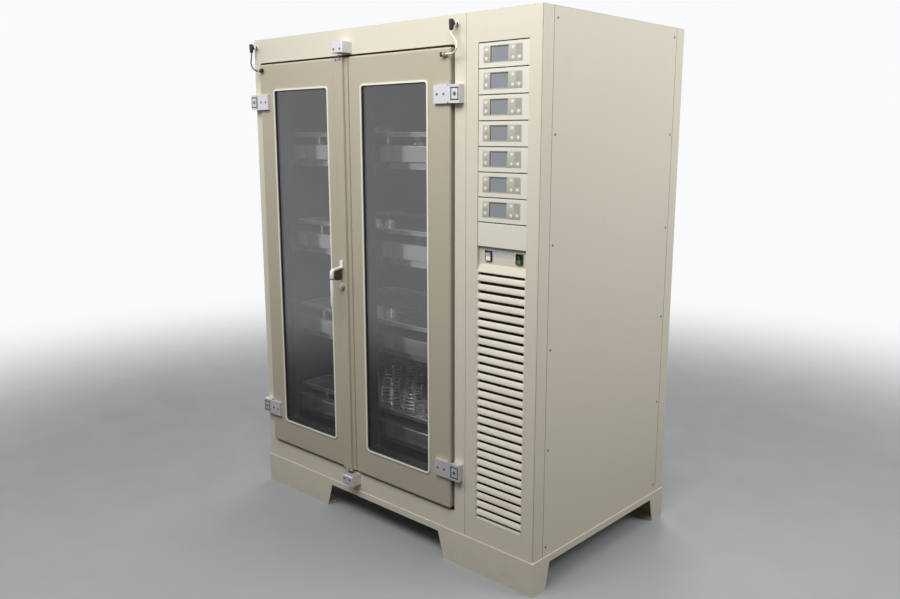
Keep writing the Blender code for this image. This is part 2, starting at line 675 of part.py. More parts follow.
def make_rocker(name, x, finish):
    """Rocker pressed at its lower edge. It turns about a pin along x behind the plate."""
    half = ROCKER_HEIGHT / 2
    tip = ROCKER_PIVOT + ROCKER_FRAME_PROUD + 0.0055
    dip = ROCKER_PIVOT + ROCKER_FRAME_PROUD + 0.0030
    outline = [(-tip, half), (-dip, 0), (-tip, -half)]
    outline += [(-0.004, -half * 0.8), (0.004, 0), (-0.004, half * 0.8)]
    y = SWITCH_RECESS + ROCKER_PIVOT
    tilt = math.radians(ROCKER_TILT)
    turned = [
        (y + u * math.cos(tilt) - v * math.sin(tilt), SWITCH_Z + u * math.sin(tilt) + v * math.cos(tilt))
        for u, v in outline
    ]
    rocker = plate(name, [turned], "X", x - ROCKER_WIDTH / 2, x + ROCKER_WIDTH / 2, finish)
    carry(pivot(f"{name}_pivot", (x, y, SWITCH_Z)), rocker)


def make_modules():
    """Seven display modules over a blank, each a face with its case behind."""
    for row in range(MODULE_ROWS):
        blank = row == MODULE_ROWS - 1
        name = "blank_module" if blank else f"display_module_{row + 1}"
        top = MODULE_TOP - row * MODULE_PITCH - MODULE_GAP / 2
        bottom = MODULE_TOP - (row + 1) * MODULE_PITCH + MODULE_GAP / 2
        low = (COLUMN_LEFT, MODULE_RECESS, bottom)
        high = (COLUMN_RIGHT, MODULE_RECESS + MODULE_FACE, top)
        module = rounded_box(name, low, high, 0, 0.001, "module_face", steps=1)
        middle_x = (COLUMN_LEFT + COLUMN_RIGHT) / 2
        middle_z = (top + bottom) / 2
        half_w, half_h = middle_x - COLUMN_LEFT - MODULE_BODY_MARGIN, MODULE_BODY_HEIGHT / 2
        back = high[1] + (BLANK_BODY_DEPTH if blank else MODULE_BODY_DEPTH)
        case_low = (middle_x - half_w, high[1] - 0.001, middle_z - half_h)
        join(module, box(f"{name}_case", case_low, (middle_x + half_w, back, middle_z + half_h)))
        if blank:
            continue
        face = MODULE_RECESS
        pad_bottom = bottom + KEYPAD_BOTTOM
        pad_low = (COLUMN_LEFT + KEYPAD_MARGINS[0], face - 0.01, pad_bottom)
        pad_high = (COLUMN_RIGHT - KEYPAD_MARGINS[1], face + KEYPAD_DEEP, pad_bottom + KEYPAD_HEIGHT)
        cut(module, box(f"{name}_keypad", pad_low, pad_high))
        shown_low = (COLUMN_LEFT + DISPLAY_X, face - 0.01, pad_low[2] + DISPLAY_MARGIN)
        shown_right = COLUMN_LEFT + DISPLAY_X + DISPLAY_WIDTH
        shown_high = (shown_right, face + DISPLAY_DEEP, pad_high[2] - DISPLAY_MARGIN)
        cut(module, box(f"{name}_window", shown_low, shown_high))


def make_louvre():
    """One grille cut from a block: each cutter takes a slot and leans the slat under it."""
    low = (COLUMN_LEFT, 0, LOUVRE_BOTTOM)
    high = (COLUMN_RIGHT, LOUVRE_DEPTH, LOUVRE_TOP - GAP)
    grille = box("louvre_grille", low, high, "ivory_trim")
    slot_bottom = LOUVRE_BOTTOM + LOUVRE_SILL
    slat = LOUVRE_PITCH - LOUVRE_SLOT
    back = LOUVRE_DEPTH + 0.005
    outline = [
        (-0.005, slot_bottom + LOUVRE_SLOT),
        (-0.005, slot_bottom - slat + 0.001),
        (0, slot_bottom - slat + 0.001),
        (LOUVRE_LEAN, slot_bottom - 0.001),
        (LOUVRE_LEAN + 0.001, slot_bottom),
        (back, slot_bottom),
        (back, slot_bottom + LOUVRE_SLOT),
    ]
    slots = plate("louvre_slots", [outline], "X", COLUMN_LEFT + LOUVRE_STILE, COLUMN_RIGHT - LOUVRE_STILE)
    repeat = slots.modifiers.new("rows", "ARRAY")
    repeat.count = LOUVRE_SLOTS
    repeat.use_relative_offset = False
    repeat.use_constant_offset = True
    repeat.constant_offset_displace = (0, 0, LOUVRE_PITCH)
    cut(grille, slots)


def make_covers():
    """Side covers, top and rear panel, each a folded tray."""
    y0, y1 = FRAME_DEPTH + GAP, CABINET_DEPTH - REAR_DEPTH - GAP
    fold = COVER_FOLD
    top = CABINET_HEIGHT - SHEET - GAP
    far = CABINET_WIDTH
    for name, x0, x1, inner in (
        ("left_side_panel", 0, fold, (SHEET, fold + 0.01)),
        ("right_side_panel", far - fold, far, (far - fold - 0.01, far - SHEET)),
    ):
        front, back = y0 + SIDE_SEAM, y1 - SIDE_SEAM
        panel = box(name, (x0, front, CASE_BOTTOM), (x1, back, top), "cabinet_paint")
        room_low = (inner[0], front + SHEET, CASE_BOTTOM + SHEET)
        cut(panel, box(f"{name}_room", room_low, (inner[1], back - SHEET, top - SHEET)))
    under = CABINET_HEIGHT - SHEET
    lid_low = (0, y0, CABINET_HEIGHT - LID_HEIGHT)
    lid = box("top_panel", lid_low, (far, y1, CABINET_HEIGHT), "cabinet_paint")
    side = fold + GAP
    cut(lid, box("lid_left", (-0.01, y0 - 0.01, 0), (side, y1 + 0.01, under)))
    cut(lid, box("lid_right", (far - side, y0 - 0.01, 0), (far + 0.01, y1 + 0.01, under)))
    cut(lid, box("lid_room", (side + SHEET, y0 + SHEET, 0), (far - side - SHEET, y1 - SHEET, under)))
    rear_y = CABINET_DEPTH - REAR_DEPTH
    rear_high = (far, CABINET_DEPTH, CABINET_HEIGHT)
    rear = box("rear_panel", (0, rear_y, CASE_BOTTOM), rear_high, "cabinet_paint")
    room_low = (SHEET, rear_y - 0.01, CASE_BOTTOM + SHEET)
    cut(rear, box("rear_room", room_low, (far - SHEET, CABINET_DEPTH - SHEET, under)))
    vent_z = PLINTH_HEIGHT + VENT_RISE
    vent_low = (COMPRESSOR_X - VENT_LENGTH / 2, CABINET_DEPTH - 0.01, vent_z)
    vent_high = (COMPRESSOR_X + VENT_LENGTH / 2, CABINET_DEPTH + 0.01, vent_z + VENT_SLOT)
    vent = box("rear_vent", vent_low, vent_high)
    repeat = vent.modifiers.new("rows", "ARRAY")
    repeat.count = VENT_ROWS
    repeat.use_relative_offset = False
    repeat.use_constant_offset = True
    repeat.constant_offset_displace = (0, 0, VENT_PITCH)
    cut(rear, vent)


def make_liner():
    """Open-fronted stainless chamber with its front flange, shelf brackets and fan boss."""
    wall = LINER_SHEET
    front = FRAME_DEPTH + GAP
    edge = LINER_FLANGE_EDGE
    low = (CHAMBER_LEFT - wall, front, CHAMBER_BOTTOM - wall)
    high = (CHAMBER_RIGHT + wall, CHAMBER_BACK + wall, CHAMBER_TOP + wall)
    liner = box("chamber_liner", low, high, "stainless")
    flange_low = (edge, front, CASE_BOTTOM + edge)
    flange_high = (COLUMN_SEAM - edge, front + wall, CABINET_HEIGHT - LID_HEIGHT - SHEET)
    join(liner, box("liner_flange", flange_low, flange_high))
    room_low = (CHAMBER_LEFT, front - 0.01, CHAMBER_BOTTOM)
    cut(liner, box("liner_room", room_low, (CHAMBER_RIGHT, CHAMBER_BACK, CHAMBER_TOP)))
    for i, top in enumerate(SHELF_TOPS):
        z1 = top - HOUSING_HEIGHT - GAP
        z0 = z1 - BRACKET_THICKNESS
        for side, x0, x1 in (
            ("left", CHAMBER_LEFT - wall / 2, CHAMBER_LEFT + BRACKET_WIDTH),
            ("right", CHAMBER_RIGHT - BRACKET_WIDTH, CHAMBER_RIGHT + wall / 2),
        ):
            low, high = (x0, HOUSING_FRONT + 0.03, z0), (x1, HOUSING_BACK - 0.02, z1)
            join(liner, box(f"bracket_{i}_{side}", low, high))
    boss_front = CHAMBER_BACK - FAN_BOSS_DEPTH
    place = (FAN_X, FAN_Z)
    join(liner, cylinder("fan_boss", place, FAN_BOSS_R, boss_front, CHAMBER_BACK + wall / 2, "Y"))
    bore_end = CHAMBER_BACK - FAN_SHAFT_R
    cut(liner, cylinder("fan_bore", place, FAN_SHAFT_R + RUN, boss_front - 0.01, bore_end, "Y", sides=16))


def make_fan():
    """Circulation fan: hub, shaft and pitched blades."""
    front = CHAMBER_BACK - FAN_BOSS_DEPTH - 0.002 - FAN_DEPTH
    back = front + FAN_DEPTH
    fan = cylinder("circulation_fan", (FAN_X, FAN_Z), FAN_HUB_R, front, back, "Y", "platform_metal")
    shaft_end = CHAMBER_BACK - FAN_SHAFT_R * 2
    join(fan, cylinder("fan_shaft", (FAN_X, FAN_Z), FAN_SHAFT_R, back - 0.004, shaft_end, "Y", sides=16))
    axis_place = Vector((FAN_X, (front + back) / 2, FAN_Z))
    for i in range(FAN_BLADES):
        inner, length = FAN_HUB_R * 0.8, FAN_R - FAN_HUB_R * 0.8
        half, chord = FAN_BLADE / 2, FAN_CHORD / 2
        blade = box(f"fan_blade_{i}", (inner, -half, -chord), (inner + length, half, chord))
        pitch = Matrix.Rotation(math.radians(FAN_PITCH), 4, "X")
        spin = Matrix.Rotation(math.tau * i / FAN_BLADES, 4, "Y")
        blade.data.transform(Matrix.Translation(axis_place) @ spin @ pitch)
        join(fan, blade)
    carry(pivot("circulation_fan_pivot", axis_place), fan)


def make_shelf(number, top):
    """One shaker shelf: drive housing, eccentric crank and platform."""
    x, y = CHAMBER_MIDDLE, SHELF_Y
    bottom = top - HOUSING_HEIGHT
    step_z = top - HOUSING_LIP
    nose = 0.004
    outline = [
        *arc(HOUSING_FRONT + nose, top - nose, nose, 90, 180, 3),
        (HOUSING_FRONT, step_z),
        (HOUSING_FRONT + HOUSING_LIP_STEP, step_z - 0.006),
        (HOUSING_FRONT + HOUSING_LIP_STEP, bottom),
        (HOUSING_BACK, bottom),
        (HOUSING_BACK, top),
    ]
    left, right = CHAMBER_LEFT + GAP, CHAMBER_RIGHT - GAP
    housing = plate(f"drive_housing_{number}", [outline], "X", left, right, "stainless")
    sheet = HOUSING_SHEET
    room_low = (left + sheet, HOUSING_FRONT + HOUSING_LIP_STEP + sheet, bottom - 0.01)
    room_high = (right - sheet, HOUSING_BACK - sheet, top - sheet)
    cut(housing, box(f"housing_room_{number}", room_low, room_high))
    join(housing, cylinder(f"boss_{number}", (x, y), BOSS_R, top - 0.001, top + BOSS_HEIGHT))
    join(housing, cylinder(f"bearing_{number}", (x, y), BEARING_R, top - BEARING_DEPTH, top))
    support_x, support_y = DECK_WIDTH / 2 - SUPPORT_INSET, DECK_DEPTH / 2 - SUPPORT_INSET
    for i, dx in enumerate((-support_x, support_x)):
        for j, dy in enumerate((-support_y, support_y)):
            post = (x + dx, y - ORBIT_R + dy)
            reach = top + DECK_LIFT - GAP
            name = f"support_{number}{i}{j}"
            join(housing, cylinder(name, post, SUPPORT_R, top - 0.001, reach, sides=16))
    motor = (x - MOTOR_OFFSET, y)
    join(housing, cylinder(f"motor_{number}", motor, MOTOR_R, top - MOTOR_HEIGHT, top - 0.001))
    bore_top = top + BOSS_HEIGHT + 0.01
    cut(housing, cylinder(f"bore_{number}", (x, y), SHAFT_R + RUN, top - BEARING_DEPTH + 0.004, bore_top))

    disc = top + BOSS_HEIGHT + GAP
    crank_top = disc + CRANK_THICKNESS
    crank = cylinder(f"crank_{number}", (x, y), CRANK_R * 0.55, disc, crank_top, finish="steel")
    weight = arc(0, 0, CRANK_R, 35, 145, 10) + arc(0, 0, CRANK_R * 0.3, 145, 35, 4)
    weight = [(x + u, y + v) for u, v in weight]
    join(crank, plate(f"counterweight_{number}", [weight], "Z", disc, crank_top))
    join(crank, cylinder(f"shaft_{number}", (x, y), SHAFT_R, disc - SHAFT_LENGTH, disc + 0.001))
    pin_y = y - ORBIT_R
    pin_top = disc + CRANK_THICKNESS + ECCENTRIC_LENGTH
    join(crank, cylinder(f"eccentric_{number}", (x, pin_y), ECCENTRIC_R, disc + 0.001, pin_top))
    carry(pivot(f"crank_{number}_axis", (x, y, disc)), crank)

    deck = top + DECK_LIFT
    low = (x - DECK_WIDTH / 2, pin_y - DECK_DEPTH / 2, deck)
    high = (x + DECK_WIDTH / 2, pin_y + DECK_DEPTH / 2, deck + DECK_RIM)
    platform = box(f"platform_{number}", low, high, "platform_metal")
    rim = DECK_RIM_SHEET
    room_low = (low[0] + rim, low[1] + rim, deck + DECK_THICKNESS)
    cut(platform, box(f"deck_room_{number}", room_low, (high[0] - rim, high[1] - rim, high[2] + 0.01)))
    hub_low = disc + CRANK_THICKNESS + GAP
    join(platform, cylinder(f"hub_{number}", (x, pin_y), HUB_R, hub_low, deck + 0.001))
    bore = ECCENTRIC_R + RUN
    cut(platform, cylinder(f"hub_bore_{number}", (x, pin_y), bore, hub_low - 0.01, pin_top + GAP))
    carry(pivot(f"platform_{number}_axis", (x, pin_y, deck)), platform)


def make_door(side, left, right, margins, hinge_x, gland_x, facing):
    """Door shell with its window opening and lead gland. facing is +1 where the hinge is on the left."""
    shell_low = (left, DOOR_FACE, DOOR_BOTTOM)
    shell_high = (right, DOOR_SKIN_DEPTH, DOOR_TOP)
    door = rounded_box(f"{side}_door", shell_low, shell_high, DOOR_CORNER, DOOR_ROUND, "door_paint")
    inset = DOOR_PLUG_INSET
    plug_low = (left + inset, DOOR_SKIN_DEPTH - 0.002, DOOR_BOTTOM + inset)
    plug_high = (right - inset, DOOR_DEPTH, DOOR_TOP - inset)
    join(door, box(f"{side}_door_plug", plug_low, plug_high))
    x0, z0 = left + margins[0], DOOR_BOTTOM + WINDOW_MARGINS_Z[0]
    x1, z1 = right - margins[1], DOOR_TOP - WINDOW_MARGINS_Z[1]
    sleeve = TRIM_BAND - TRIM_WALL
    hole_in = sleeve - GAP
    hole = rounded_outline(x0 + hole_in, z0 + hole_in, x1 - hole_in, z1 - hole_in, TRIM_RADIUS - hole_in)
    cut(door, plate(f"{side}_window_hole", [hole], "Y", DOOR_FACE - 0.02, DOOR_DEPTH + 0.02))
    # the core is hollow behind the skin, as a folded door is, and open at the back
    core = DOOR_WALL
    step = hole_in - core
    inner_low = (plug_low[0] + core, plug_low[2] + core)
    inner_high = (plug_high[0] - core, plug_high[2] - core)
    band = [
        rounded_outline(*inner_low, *inner_high, 0.004, 1),
        rounded_outline(x0 + step, z0 + step, x1 - step, z1 - step, TRIM_RADIUS - step, 3),
    ]
    cut(door, plate(f"{side}_door_core", band, "Y", DOOR_FACE + core, DOOR_DEPTH - core))
    vent = (plug_low[0] + 0.02, DOOR_DEPTH - core - 0.002, DOOR_BOTTOM + inset + 0.02)
    cut(door, box(f"{side}_door_vent", vent, (vent[0] + 0.006, DOOR_DEPTH + 0.01, vent[2] + 0.006)))
    gland_end = gland_x - facing * GLAND_LENGTH / 2
    ends = sorted((gland_end, gland_x + facing * GLAND_LENGTH / 2))
    join(door, cylinder(f"{side}_gland", (GLAND_Y, GLAND_Z), GLAND_R, *ends, axis="X", sides=16))
    foot_low = (gland_x - 0.006, GLAND_Y, GLAND_Z - 0.006)
    join(door, box(f"{side}_gland_foot", foot_low, (gland_x + 0.006, DOOR_FACE + 0.001, GLAND_Z + 0.006)))

    outer = rounded_outline(x0, z0, x1, z1, TRIM_RADIUS)
    band_in = TRIM_BAND
    inner = rounded_outline(x0 + band_in, z0 + band_in, x1 - band_in, z1 - band_in, TRIM_RADIUS - band_in)
    wall_in = rounded_outline(x0 + sleeve, z0 + sleeve, x1 - sleeve, z1 - sleeve, TRIM_RADIUS - sleeve)
    band_back = DOOR_FACE - GAP
    band_front = band_back - TRIM_PROUD
    trim = plate(f"{side}_window_trim", [outer, inner], "Y", band_front, band_back, "ivory_trim")
    sleeve_front = DOOR_FACE - TRIM_PROUD / 2
    join(trim, plate(f"{side}_trim_sleeve", [wall_in, inner], "Y", sleeve_front, TRIM_DEPTH))
    pane_in = TRIM_BAND + GAP
    pane = rounded_outline(x0 + pane_in, z0 + pane_in, x1 - pane_in, z1 - pane_in, TRIM_RADIUS - pane_in)
    glass_front = DOOR_FACE + GLASS_INSET
    glass = plate(f"{side}_glass", [pane], "Y", glass_front, glass_front + GLASS_THICKNESS, "glass")

    a = inset + GASKET_INSET
    b = a + GASKET_WIDTH
    gasket = plate(
        f"{side}_door_gasket",
        [
            rounded_outline(left + a, DOOR_BOTTOM + a, right - a, DOOR_TOP - a, 0.006, 2),
            rounded_outline(left + b, DOOR_BOTTOM + b, right - b, DOOR_TOP - b, 0.004, 2),
        ],
        "Y",
        DOOR_DEPTH + GAP,
        FRAME_DEPTH,
        "rubber",
    )
    axis = pivot(f"{side}_door_axis", (hinge_x, HINGE_AXIS_Y, 0))
    leaves = [make_hinge(side, level, hinge_x, z, facing) for level, z in HINGE_LEVELS.items()]
    carry(axis, door, trim, glass, gasket, *leaves)
    return axis


def make_hinge(side, level, hinge_x, z, facing):
    """Surface hinge: a block on the frame with the pin, and a leaf on the door that turns on it."""
    front = -HINGE_THICKNESS - HINGE_AXIS_Y
    back = -GAP - HINGE_AXIS_Y
    leaf_back = DOOR_FACE - GAP - HINGE_AXIS_Y
    low, high = z - HINGE_HEIGHT / 2, z + HINGE_HEIGHT / 2

    def placed(points):
        return [(hinge_x + facing * u, HINGE_AXIS_Y + v) for u, v in points]

    knuckle = arc(0, 0, HINGE_KNUCKLE_R, 270, 180, 4)[1:]
    leaf_outline = [(HINGE_LEAF, front), (0, front), *knuckle, (0, leaf_back), (HINGE_LEAF, leaf_back)]
    leaf = plate(f"{side}_{level}_hinge_leaf", [placed(leaf_outline)], "Z", low, high, "satin_metal")
    clear = HINGE_TAB + GAP
    for end, z0, z1 in (("low", low - 0.01, low + clear), ("high", high - clear, high + 0.01)):
        notch = placed([(-0.02, -0.02), (HINGE_NOTCH, -0.02), (HINGE_NOTCH, 0.03), (-0.02, 0.03)])
        cut(leaf, plate(f"{side}_{level}_notch_{end}", [notch], "Z", z0, z1))
    axis = (hinge_x, HINGE_AXIS_Y)
    bore = HINGE_PIN_R + RUN
    cut(leaf, cylinder(f"{side}_{level}_pin_hole", axis, bore, low - 0.01, high + 0.01, sides=16))

    near, far = -HINGE_PAD_OFFSET, -HINGE_PAD_OFFSET - HINGE_PAD
    pad = [(near, front), (near, back), (far, back), (far, front)]
    block = plate(f"{side}_{level}_hinge_block", [placed(pad)], "Z", low, high, "satin_metal")
    tab = [(near - 0.001, HINGE_TAB_R), *arc(0, 0, HINGE_TAB_R, 90, -90, 6), (near - 0.001, -HINGE_TAB_R)]
    join(block, plate(f"{side}_{level}_tab_low", [placed(tab)], "Z", low, low + HINGE_TAB))
    join(block, plate(f"{side}_{level}_tab_high", [placed(tab)], "Z", high - HINGE_TAB, high))
    join(block, cylinder(f"{side}_{level}_pin", axis, HINGE_PIN_R, low + 0.001, high - 0.001, sides=16))
    return leaf


def make_lock(door_axis):
    """Cremone lock on the left door: cover, handle with its cam, two rods, key and keepers."""
    x = ROD_X
    low = (COVER_X, -COVER_PROUD, COVER_BOTTOM)
    high = (COVER_RIGHT, DOOR_FACE - GAP, COVER_TOP)
    cover = rounded_box("lock_rod_cover", low, high, 0, 0.003, "door_paint", steps=2)
    wall, end = COVER_WALL, COVER_END
    room_low = (COVER_X + wall, -COVER_PROUD + wall, COVER_BOTTOM + end)
    cut(cover, box("cover_room", room_low, (COVER_RIGHT - wall, 0.01, COVER_TOP - end)))
    ends = (COVER_BOTTOM - 0.01, COVER_TOP + 0.01)
    cut(cover, cylinder("rod_holes", (x, ROD_Y), ROD_R + RUN, *ends, sides=20))
    through = (-COVER_PROUD - 0.01, 0.005 - COVER_PROUD)
    cut(cover, cylinder("spindle_hole", (x, HANDLE_Z), SPINDLE_R + RUN, *through, "Y"))
    collar_front = -COVER_PROUD - KEY_COLLAR_PROUD
    join(cover, cylinder("key_collar", (x, KEY_Z), KEY_COLLAR_R, collar_front, 0.001 - COVER_PROUD, "Y"))
    cut(cover, cylinder("key_bore", (x, KEY_Z), KEY_R + RUN, collar_front - 0.01, 0.005 - COVER_PROUD, "Y"))
    carry(door_axis, cover)

    key_back = COVER_WALL * 0.8 - COVER_PROUD
    key_front = collar_front - KEY_PROUD
    key = cylinder("key_cylinder", (x, KEY_Z), KEY_R, key_front, key_back, "Y", "satin_metal")
    slot_low = (x - KEY_SLOT / 2, collar_front - 0.01, KEY_Z - 0.005)
    cut(key, box("key_slot", slot_low, (x + KEY_SLOT / 2, collar_front + 0.006, KEY_Z + 0.005)))
    carry(pivot("key_axis", (x, collar_front, KEY_Z)), key)

    front = -COVER_PROUD - GAP
    rose_front = front - ROSE_THICKNESS
    corner = arc(HANDLE_REACH - HANDLE_BEND, HANDLE_Z - HANDLE_BEND, HANDLE_BEND, 90, 0, 5)
    bend = [(-u, v) for u, v in corner]
    run = [(rose_front + 0.002, HANDLE_Z), *bend]
    grip_top = HANDLE_Z - HANDLE_BEND
    grip_end = HANDLE_Z - GRIP_DROP
    for share in (0.2, 0.5, 0.8, 0.97, 1.0):
        run.append((-HANDLE_REACH, grip_top + (grip_end - grip_top) * share))
    swell = [1] * (len(bend) + 1) + [GRIP_SWELL, GRIP_SWELL, GRIP_SWELL, GRIP_SWELL, 0.8]
    handle = tube("door_handle", [(x, y, z) for y, z in run], HANDLE_R, "satin_metal", swell, resolution=3)
    join(handle, cylinder("rose", (x, HANDLE_Z), ROSE_R, rose_front, front, "Y"))
    near_y, far_y = rose_front + 0.001, 0.002 - HANDLE_REACH
    web = [
        (near_y, HANDLE_Z + WEB_RISE),
        (near_y, HANDLE_Z - WEB_DROP),
        (far_y * 0.7 + near_y * 0.3, HANDLE_Z - WEB_DROP * 0.94),
        (far_y, HANDLE_Z - WEB_DROP * 0.82),
        (far_y, HANDLE_Z - HANDLE_BEND * 0.8),
        (far_y * 0.5 + near_y * 0.5, HANDLE_Z + HANDLE_R * 0.3),
        (near_y - 0.008, HANDLE_Z + HANDLE_R),
        (near_y - 0.006, HANDLE_Z + WEB_RISE),
    ]
    half = WEB_THICKNESS / 2
    join(handle, plate("web", [web], "X", x - half, x + half))
    cam_back = ROD_Y + CAM_THICKNESS / 2
    join(handle, cylinder("spindle", (x, HANDLE_Z), SPINDLE_R, front - 0.001, cam_back - 0.001, "Y"))
    join(handle, cylinder("cam", (x, HANDLE_Z), CAM_R, cam_back - CAM_THICKNESS, cam_back, "Y"))
    carry(pivot("handle_axis", (x, front, HANDLE_Z)), handle)

    near = CAM_R + CAM_ROD_GAP
    rods = (
        ("top_lock_rod", HANDLE_Z + near, TOP_KEEPER_Z - ROD_CLEARANCE),
        ("bottom_lock_rod", BOTTOM_KEEPER_Z + ROD_CLEARANCE, HANDLE_Z - near),
    )
    for name, z0, z1 in rods:
        rod = cylinder(name, (x, ROD_Y), ROD_R, z0, z1, finish="steel", sides=20)
        carry(pivot(f"{name}_line", (x, ROD_Y, z0)), rod)

    upper, lower = TOP_KEEPER_Z, BOTTOM_KEEPER_Z
    for name, z0, hole in (
        ("top_keeper", upper, (upper - 0.01, upper + KEEPER_HOLE)),
        ("bottom_keeper", lower - KEEPER_HEIGHT, (lower - KEEPER_HOLE, lower + 0.01)),
    ):
        high = (KEEPER_X + KEEPER_WIDTH, -GAP, z0 + KEEPER_HEIGHT)
        keeper = rounded_box(name, (KEEPER_X, -KEEPER_PROUD, z0), high, 0, 0.0015, "satin_metal", steps=1)
        cut(keeper, cylinder(f"{name}_hole", (x, ROD_Y), ROD_R + RUN, *hole, sides=20))


def make_leads():
    """Door leads: an elbow plug in the header, and a short cable to the gland on the door."""
    drop_y = PLUG_R - PLUG_REACH
    for side, plug_x in (("left", LEFT_PLUG_X), ("right", RIGHT_PLUG_X)):
        socket = (plug_x, PLUG_Z)
        name = f"{side}_lead_plug"
        plug = cylinder(name, socket, PLUG_FLANGE_R, -0.005, -GAP, "Y", "black_plastic", sides=20)
        join(plug, cylinder(f"{side}_plug_neck", socket, PLUG_R * 0.8, drop_y, -0.004, "Y", sides=16))
        ends = (PLUG_Z - PLUG_DROP, PLUG_Z + PLUG_R * 1.6)
        join(plug, cylinder(f"{side}_plug_elbow", (plug_x, drop_y), PLUG_R, *ends, sides=16))
    exit_z = PLUG_Z - PLUG_DROP - GAP * 1.5
    left_entry = LEFT_GLAND_X - GLAND_LENGTH / 2 - GAP * 1.5
    left = [
        Vector((LEFT_PLUG_X, drop_y, exit_z)),
        Vector((LEFT_PLUG_X, drop_y, exit_z - 0.004)),
        Vector((LEFT_PLUG_X, drop_y - 0.001, exit_z - 0.014)),
        Vector((LEFT_PLUG_X - 0.003, drop_y - 0.002, exit_z - 0.038)),
        Vector((left_entry - 0.0236, GLAND_Y - 0.0115, GLAND_Z + 0.0085)),
        Vector((left_entry - 0.0141, GLAND_Y - 0.003, GLAND_Z)),
        Vector((left_entry - 0.004, GLAND_Y, GLAND_Z)),
        Vector((left_entry, GLAND_Y, GLAND_Z)),
    ]
    right_entry = RIGHT_GLAND_X + GLAND_LENGTH / 2 + GAP * 1.5
    right = [
        Vector((RIGHT_PLUG_X, drop_y, exit_z)),
        Vector((RIGHT_PLUG_X, drop_y, exit_z - 0.004)),
        Vector((RIGHT_PLUG_X + 0.002, drop_y - 0.001, exit_z - 0.012)),
        Vector((RIGHT_PLUG_X + 0.018, drop_y + 0.002, exit_z - 0.034)),
        Vector((RIGHT_PLUG_X + 0.0245, GLAND_Y - 0.0115, GLAND_Z + 0.0135)),
        Vector((RIGHT_PLUG_X + 0.008, GLAND_Y - 0.0055, GLAND_Z + 0.0015)),
        Vector((right_entry + 0.010, GLAND_Y - 0.001, GLAND_Z)),
        Vector((right_entry + 0.004, GLAND_Y, GLAND_Z)),
        Vector((right_entry, GLAND_Y, GLAND_Z)),
    ]
    tube("left_door_lead", curve_through(left, 4), LEAD_R, "rubber")
    tube("right_door_lead", curve_through(right, 4), LEAD_R, "white_plastic")


def make_compressor():
    """Sealed compressor on its feet, on the plinth's deck in the machine bay."""
    z = PLINTH_HEIGHT + GAP
    x, y, half = COMPRESSOR_X, COMPRESSOR_Y, COMPRESSOR_FOOT
    radius, top = COMPRESSOR_R, z + COMPRESSOR_HEIGHT
    shoulder = z + COMPRESSOR_HEIGHT * 0.8
    can = cylinder("compressor", (x, y), radius, z + 0.012, shoulder, finish="black_paint", sides=28)
    above = radius * 0.55
    dome = cylinder("compressor_dome", (x, y), radius, shoulder - 0.001, top, sides=28, top_radius=above)
    base_low, base_high = (x - half, y - half, z + 0.011), (x + half, y + half, z + 0.015)
    join(can, dome, box("compressor_base", base_low, base_high))
    hollow = COMPRESSOR_R - COMPRESSOR_WALL
    cut(can, cylinder("compressor_room", (x, y), hollow, z - 0.01, z + COMPRESSOR_HEIGHT * 0.75, sides=20))
    for i, (dx, dy) in enumerate(((-half, -half), (half, -half), (half, half), (-half, half))):
        place = (x + dx * 0.85, y + dy * 0.85)
        join(can, cylinder(f"compressor_foot_{i}", place, 0.014, z, z + 0.016, sides=12))


def main():
    start_scene()
    make_plinth()
    make_door_frame()
    make_column()
    make_modules()
    make_rocker("power_rocker", SWITCH_X["power_rocker"], "white_plastic")
    make_rocker("lamp_rocker", SWITCH_X["lamp_rocker"], "green_lens")
    make_louvre()
    make_covers()
    make_liner()
    make_fan()
    for i, top in enumerate(SHELF_TOPS):
        make_shelf(i + 1, top)
    axis = make_door("left", DOOR_LEFT, LEFT_DOOR_EDGE, LEFT_WINDOW_MARGINS, LEFT_HINGE_X, LEFT_GLAND_X, 1)
    make_door("right", RIGHT_DOOR_EDGE, DOOR_RIGHT, RIGHT_WINDOW_MARGINS, RIGHT_HINGE_X, RIGHT_GLAND_X, -1)
    make_lock(axis)
    make_leads()
    make_compressor()


main()
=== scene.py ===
import math

import bmesh
import bpy
from mathutils import Matrix, Vector


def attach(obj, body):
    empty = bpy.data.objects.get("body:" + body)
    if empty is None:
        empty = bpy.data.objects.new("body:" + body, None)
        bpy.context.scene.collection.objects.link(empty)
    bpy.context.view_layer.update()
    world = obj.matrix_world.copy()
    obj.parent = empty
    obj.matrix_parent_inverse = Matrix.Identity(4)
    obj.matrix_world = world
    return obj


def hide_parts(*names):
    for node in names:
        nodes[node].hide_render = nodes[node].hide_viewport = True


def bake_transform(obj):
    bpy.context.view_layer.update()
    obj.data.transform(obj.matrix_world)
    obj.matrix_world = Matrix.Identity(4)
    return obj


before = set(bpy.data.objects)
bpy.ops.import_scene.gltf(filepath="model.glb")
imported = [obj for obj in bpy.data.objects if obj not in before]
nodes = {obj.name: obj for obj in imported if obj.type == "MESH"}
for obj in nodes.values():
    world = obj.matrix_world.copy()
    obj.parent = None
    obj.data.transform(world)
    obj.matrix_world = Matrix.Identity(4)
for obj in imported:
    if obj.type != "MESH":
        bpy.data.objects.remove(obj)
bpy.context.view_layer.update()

# Cabinet coordinates, as in the part's source: x from the left side, y back from the front face, z up
cabinet = {"halfWidth": 0.678, "frontY": -0.3553}
columnSizes = {
    "left": 1.1240, "right": 1.3100, "moduleTop": 1.6630, "modulePitch": 0.0741, "modules": 7, "slats": 29,
    "louvreTop": 0.9947, "louvreBottom": 0.1830, "louvreSill": 0.0106,
    "slatPitch": 0.02824, "slatGap": 0.0078,
}
backdrop = {"colour": (0.965, 0.975, 0.985, 1), "asLight": 0.115, "asSeen": 0.98}


def at(x, y, z):
    return Vector((x - cabinet["halfWidth"], y + cabinet["frontY"], z))


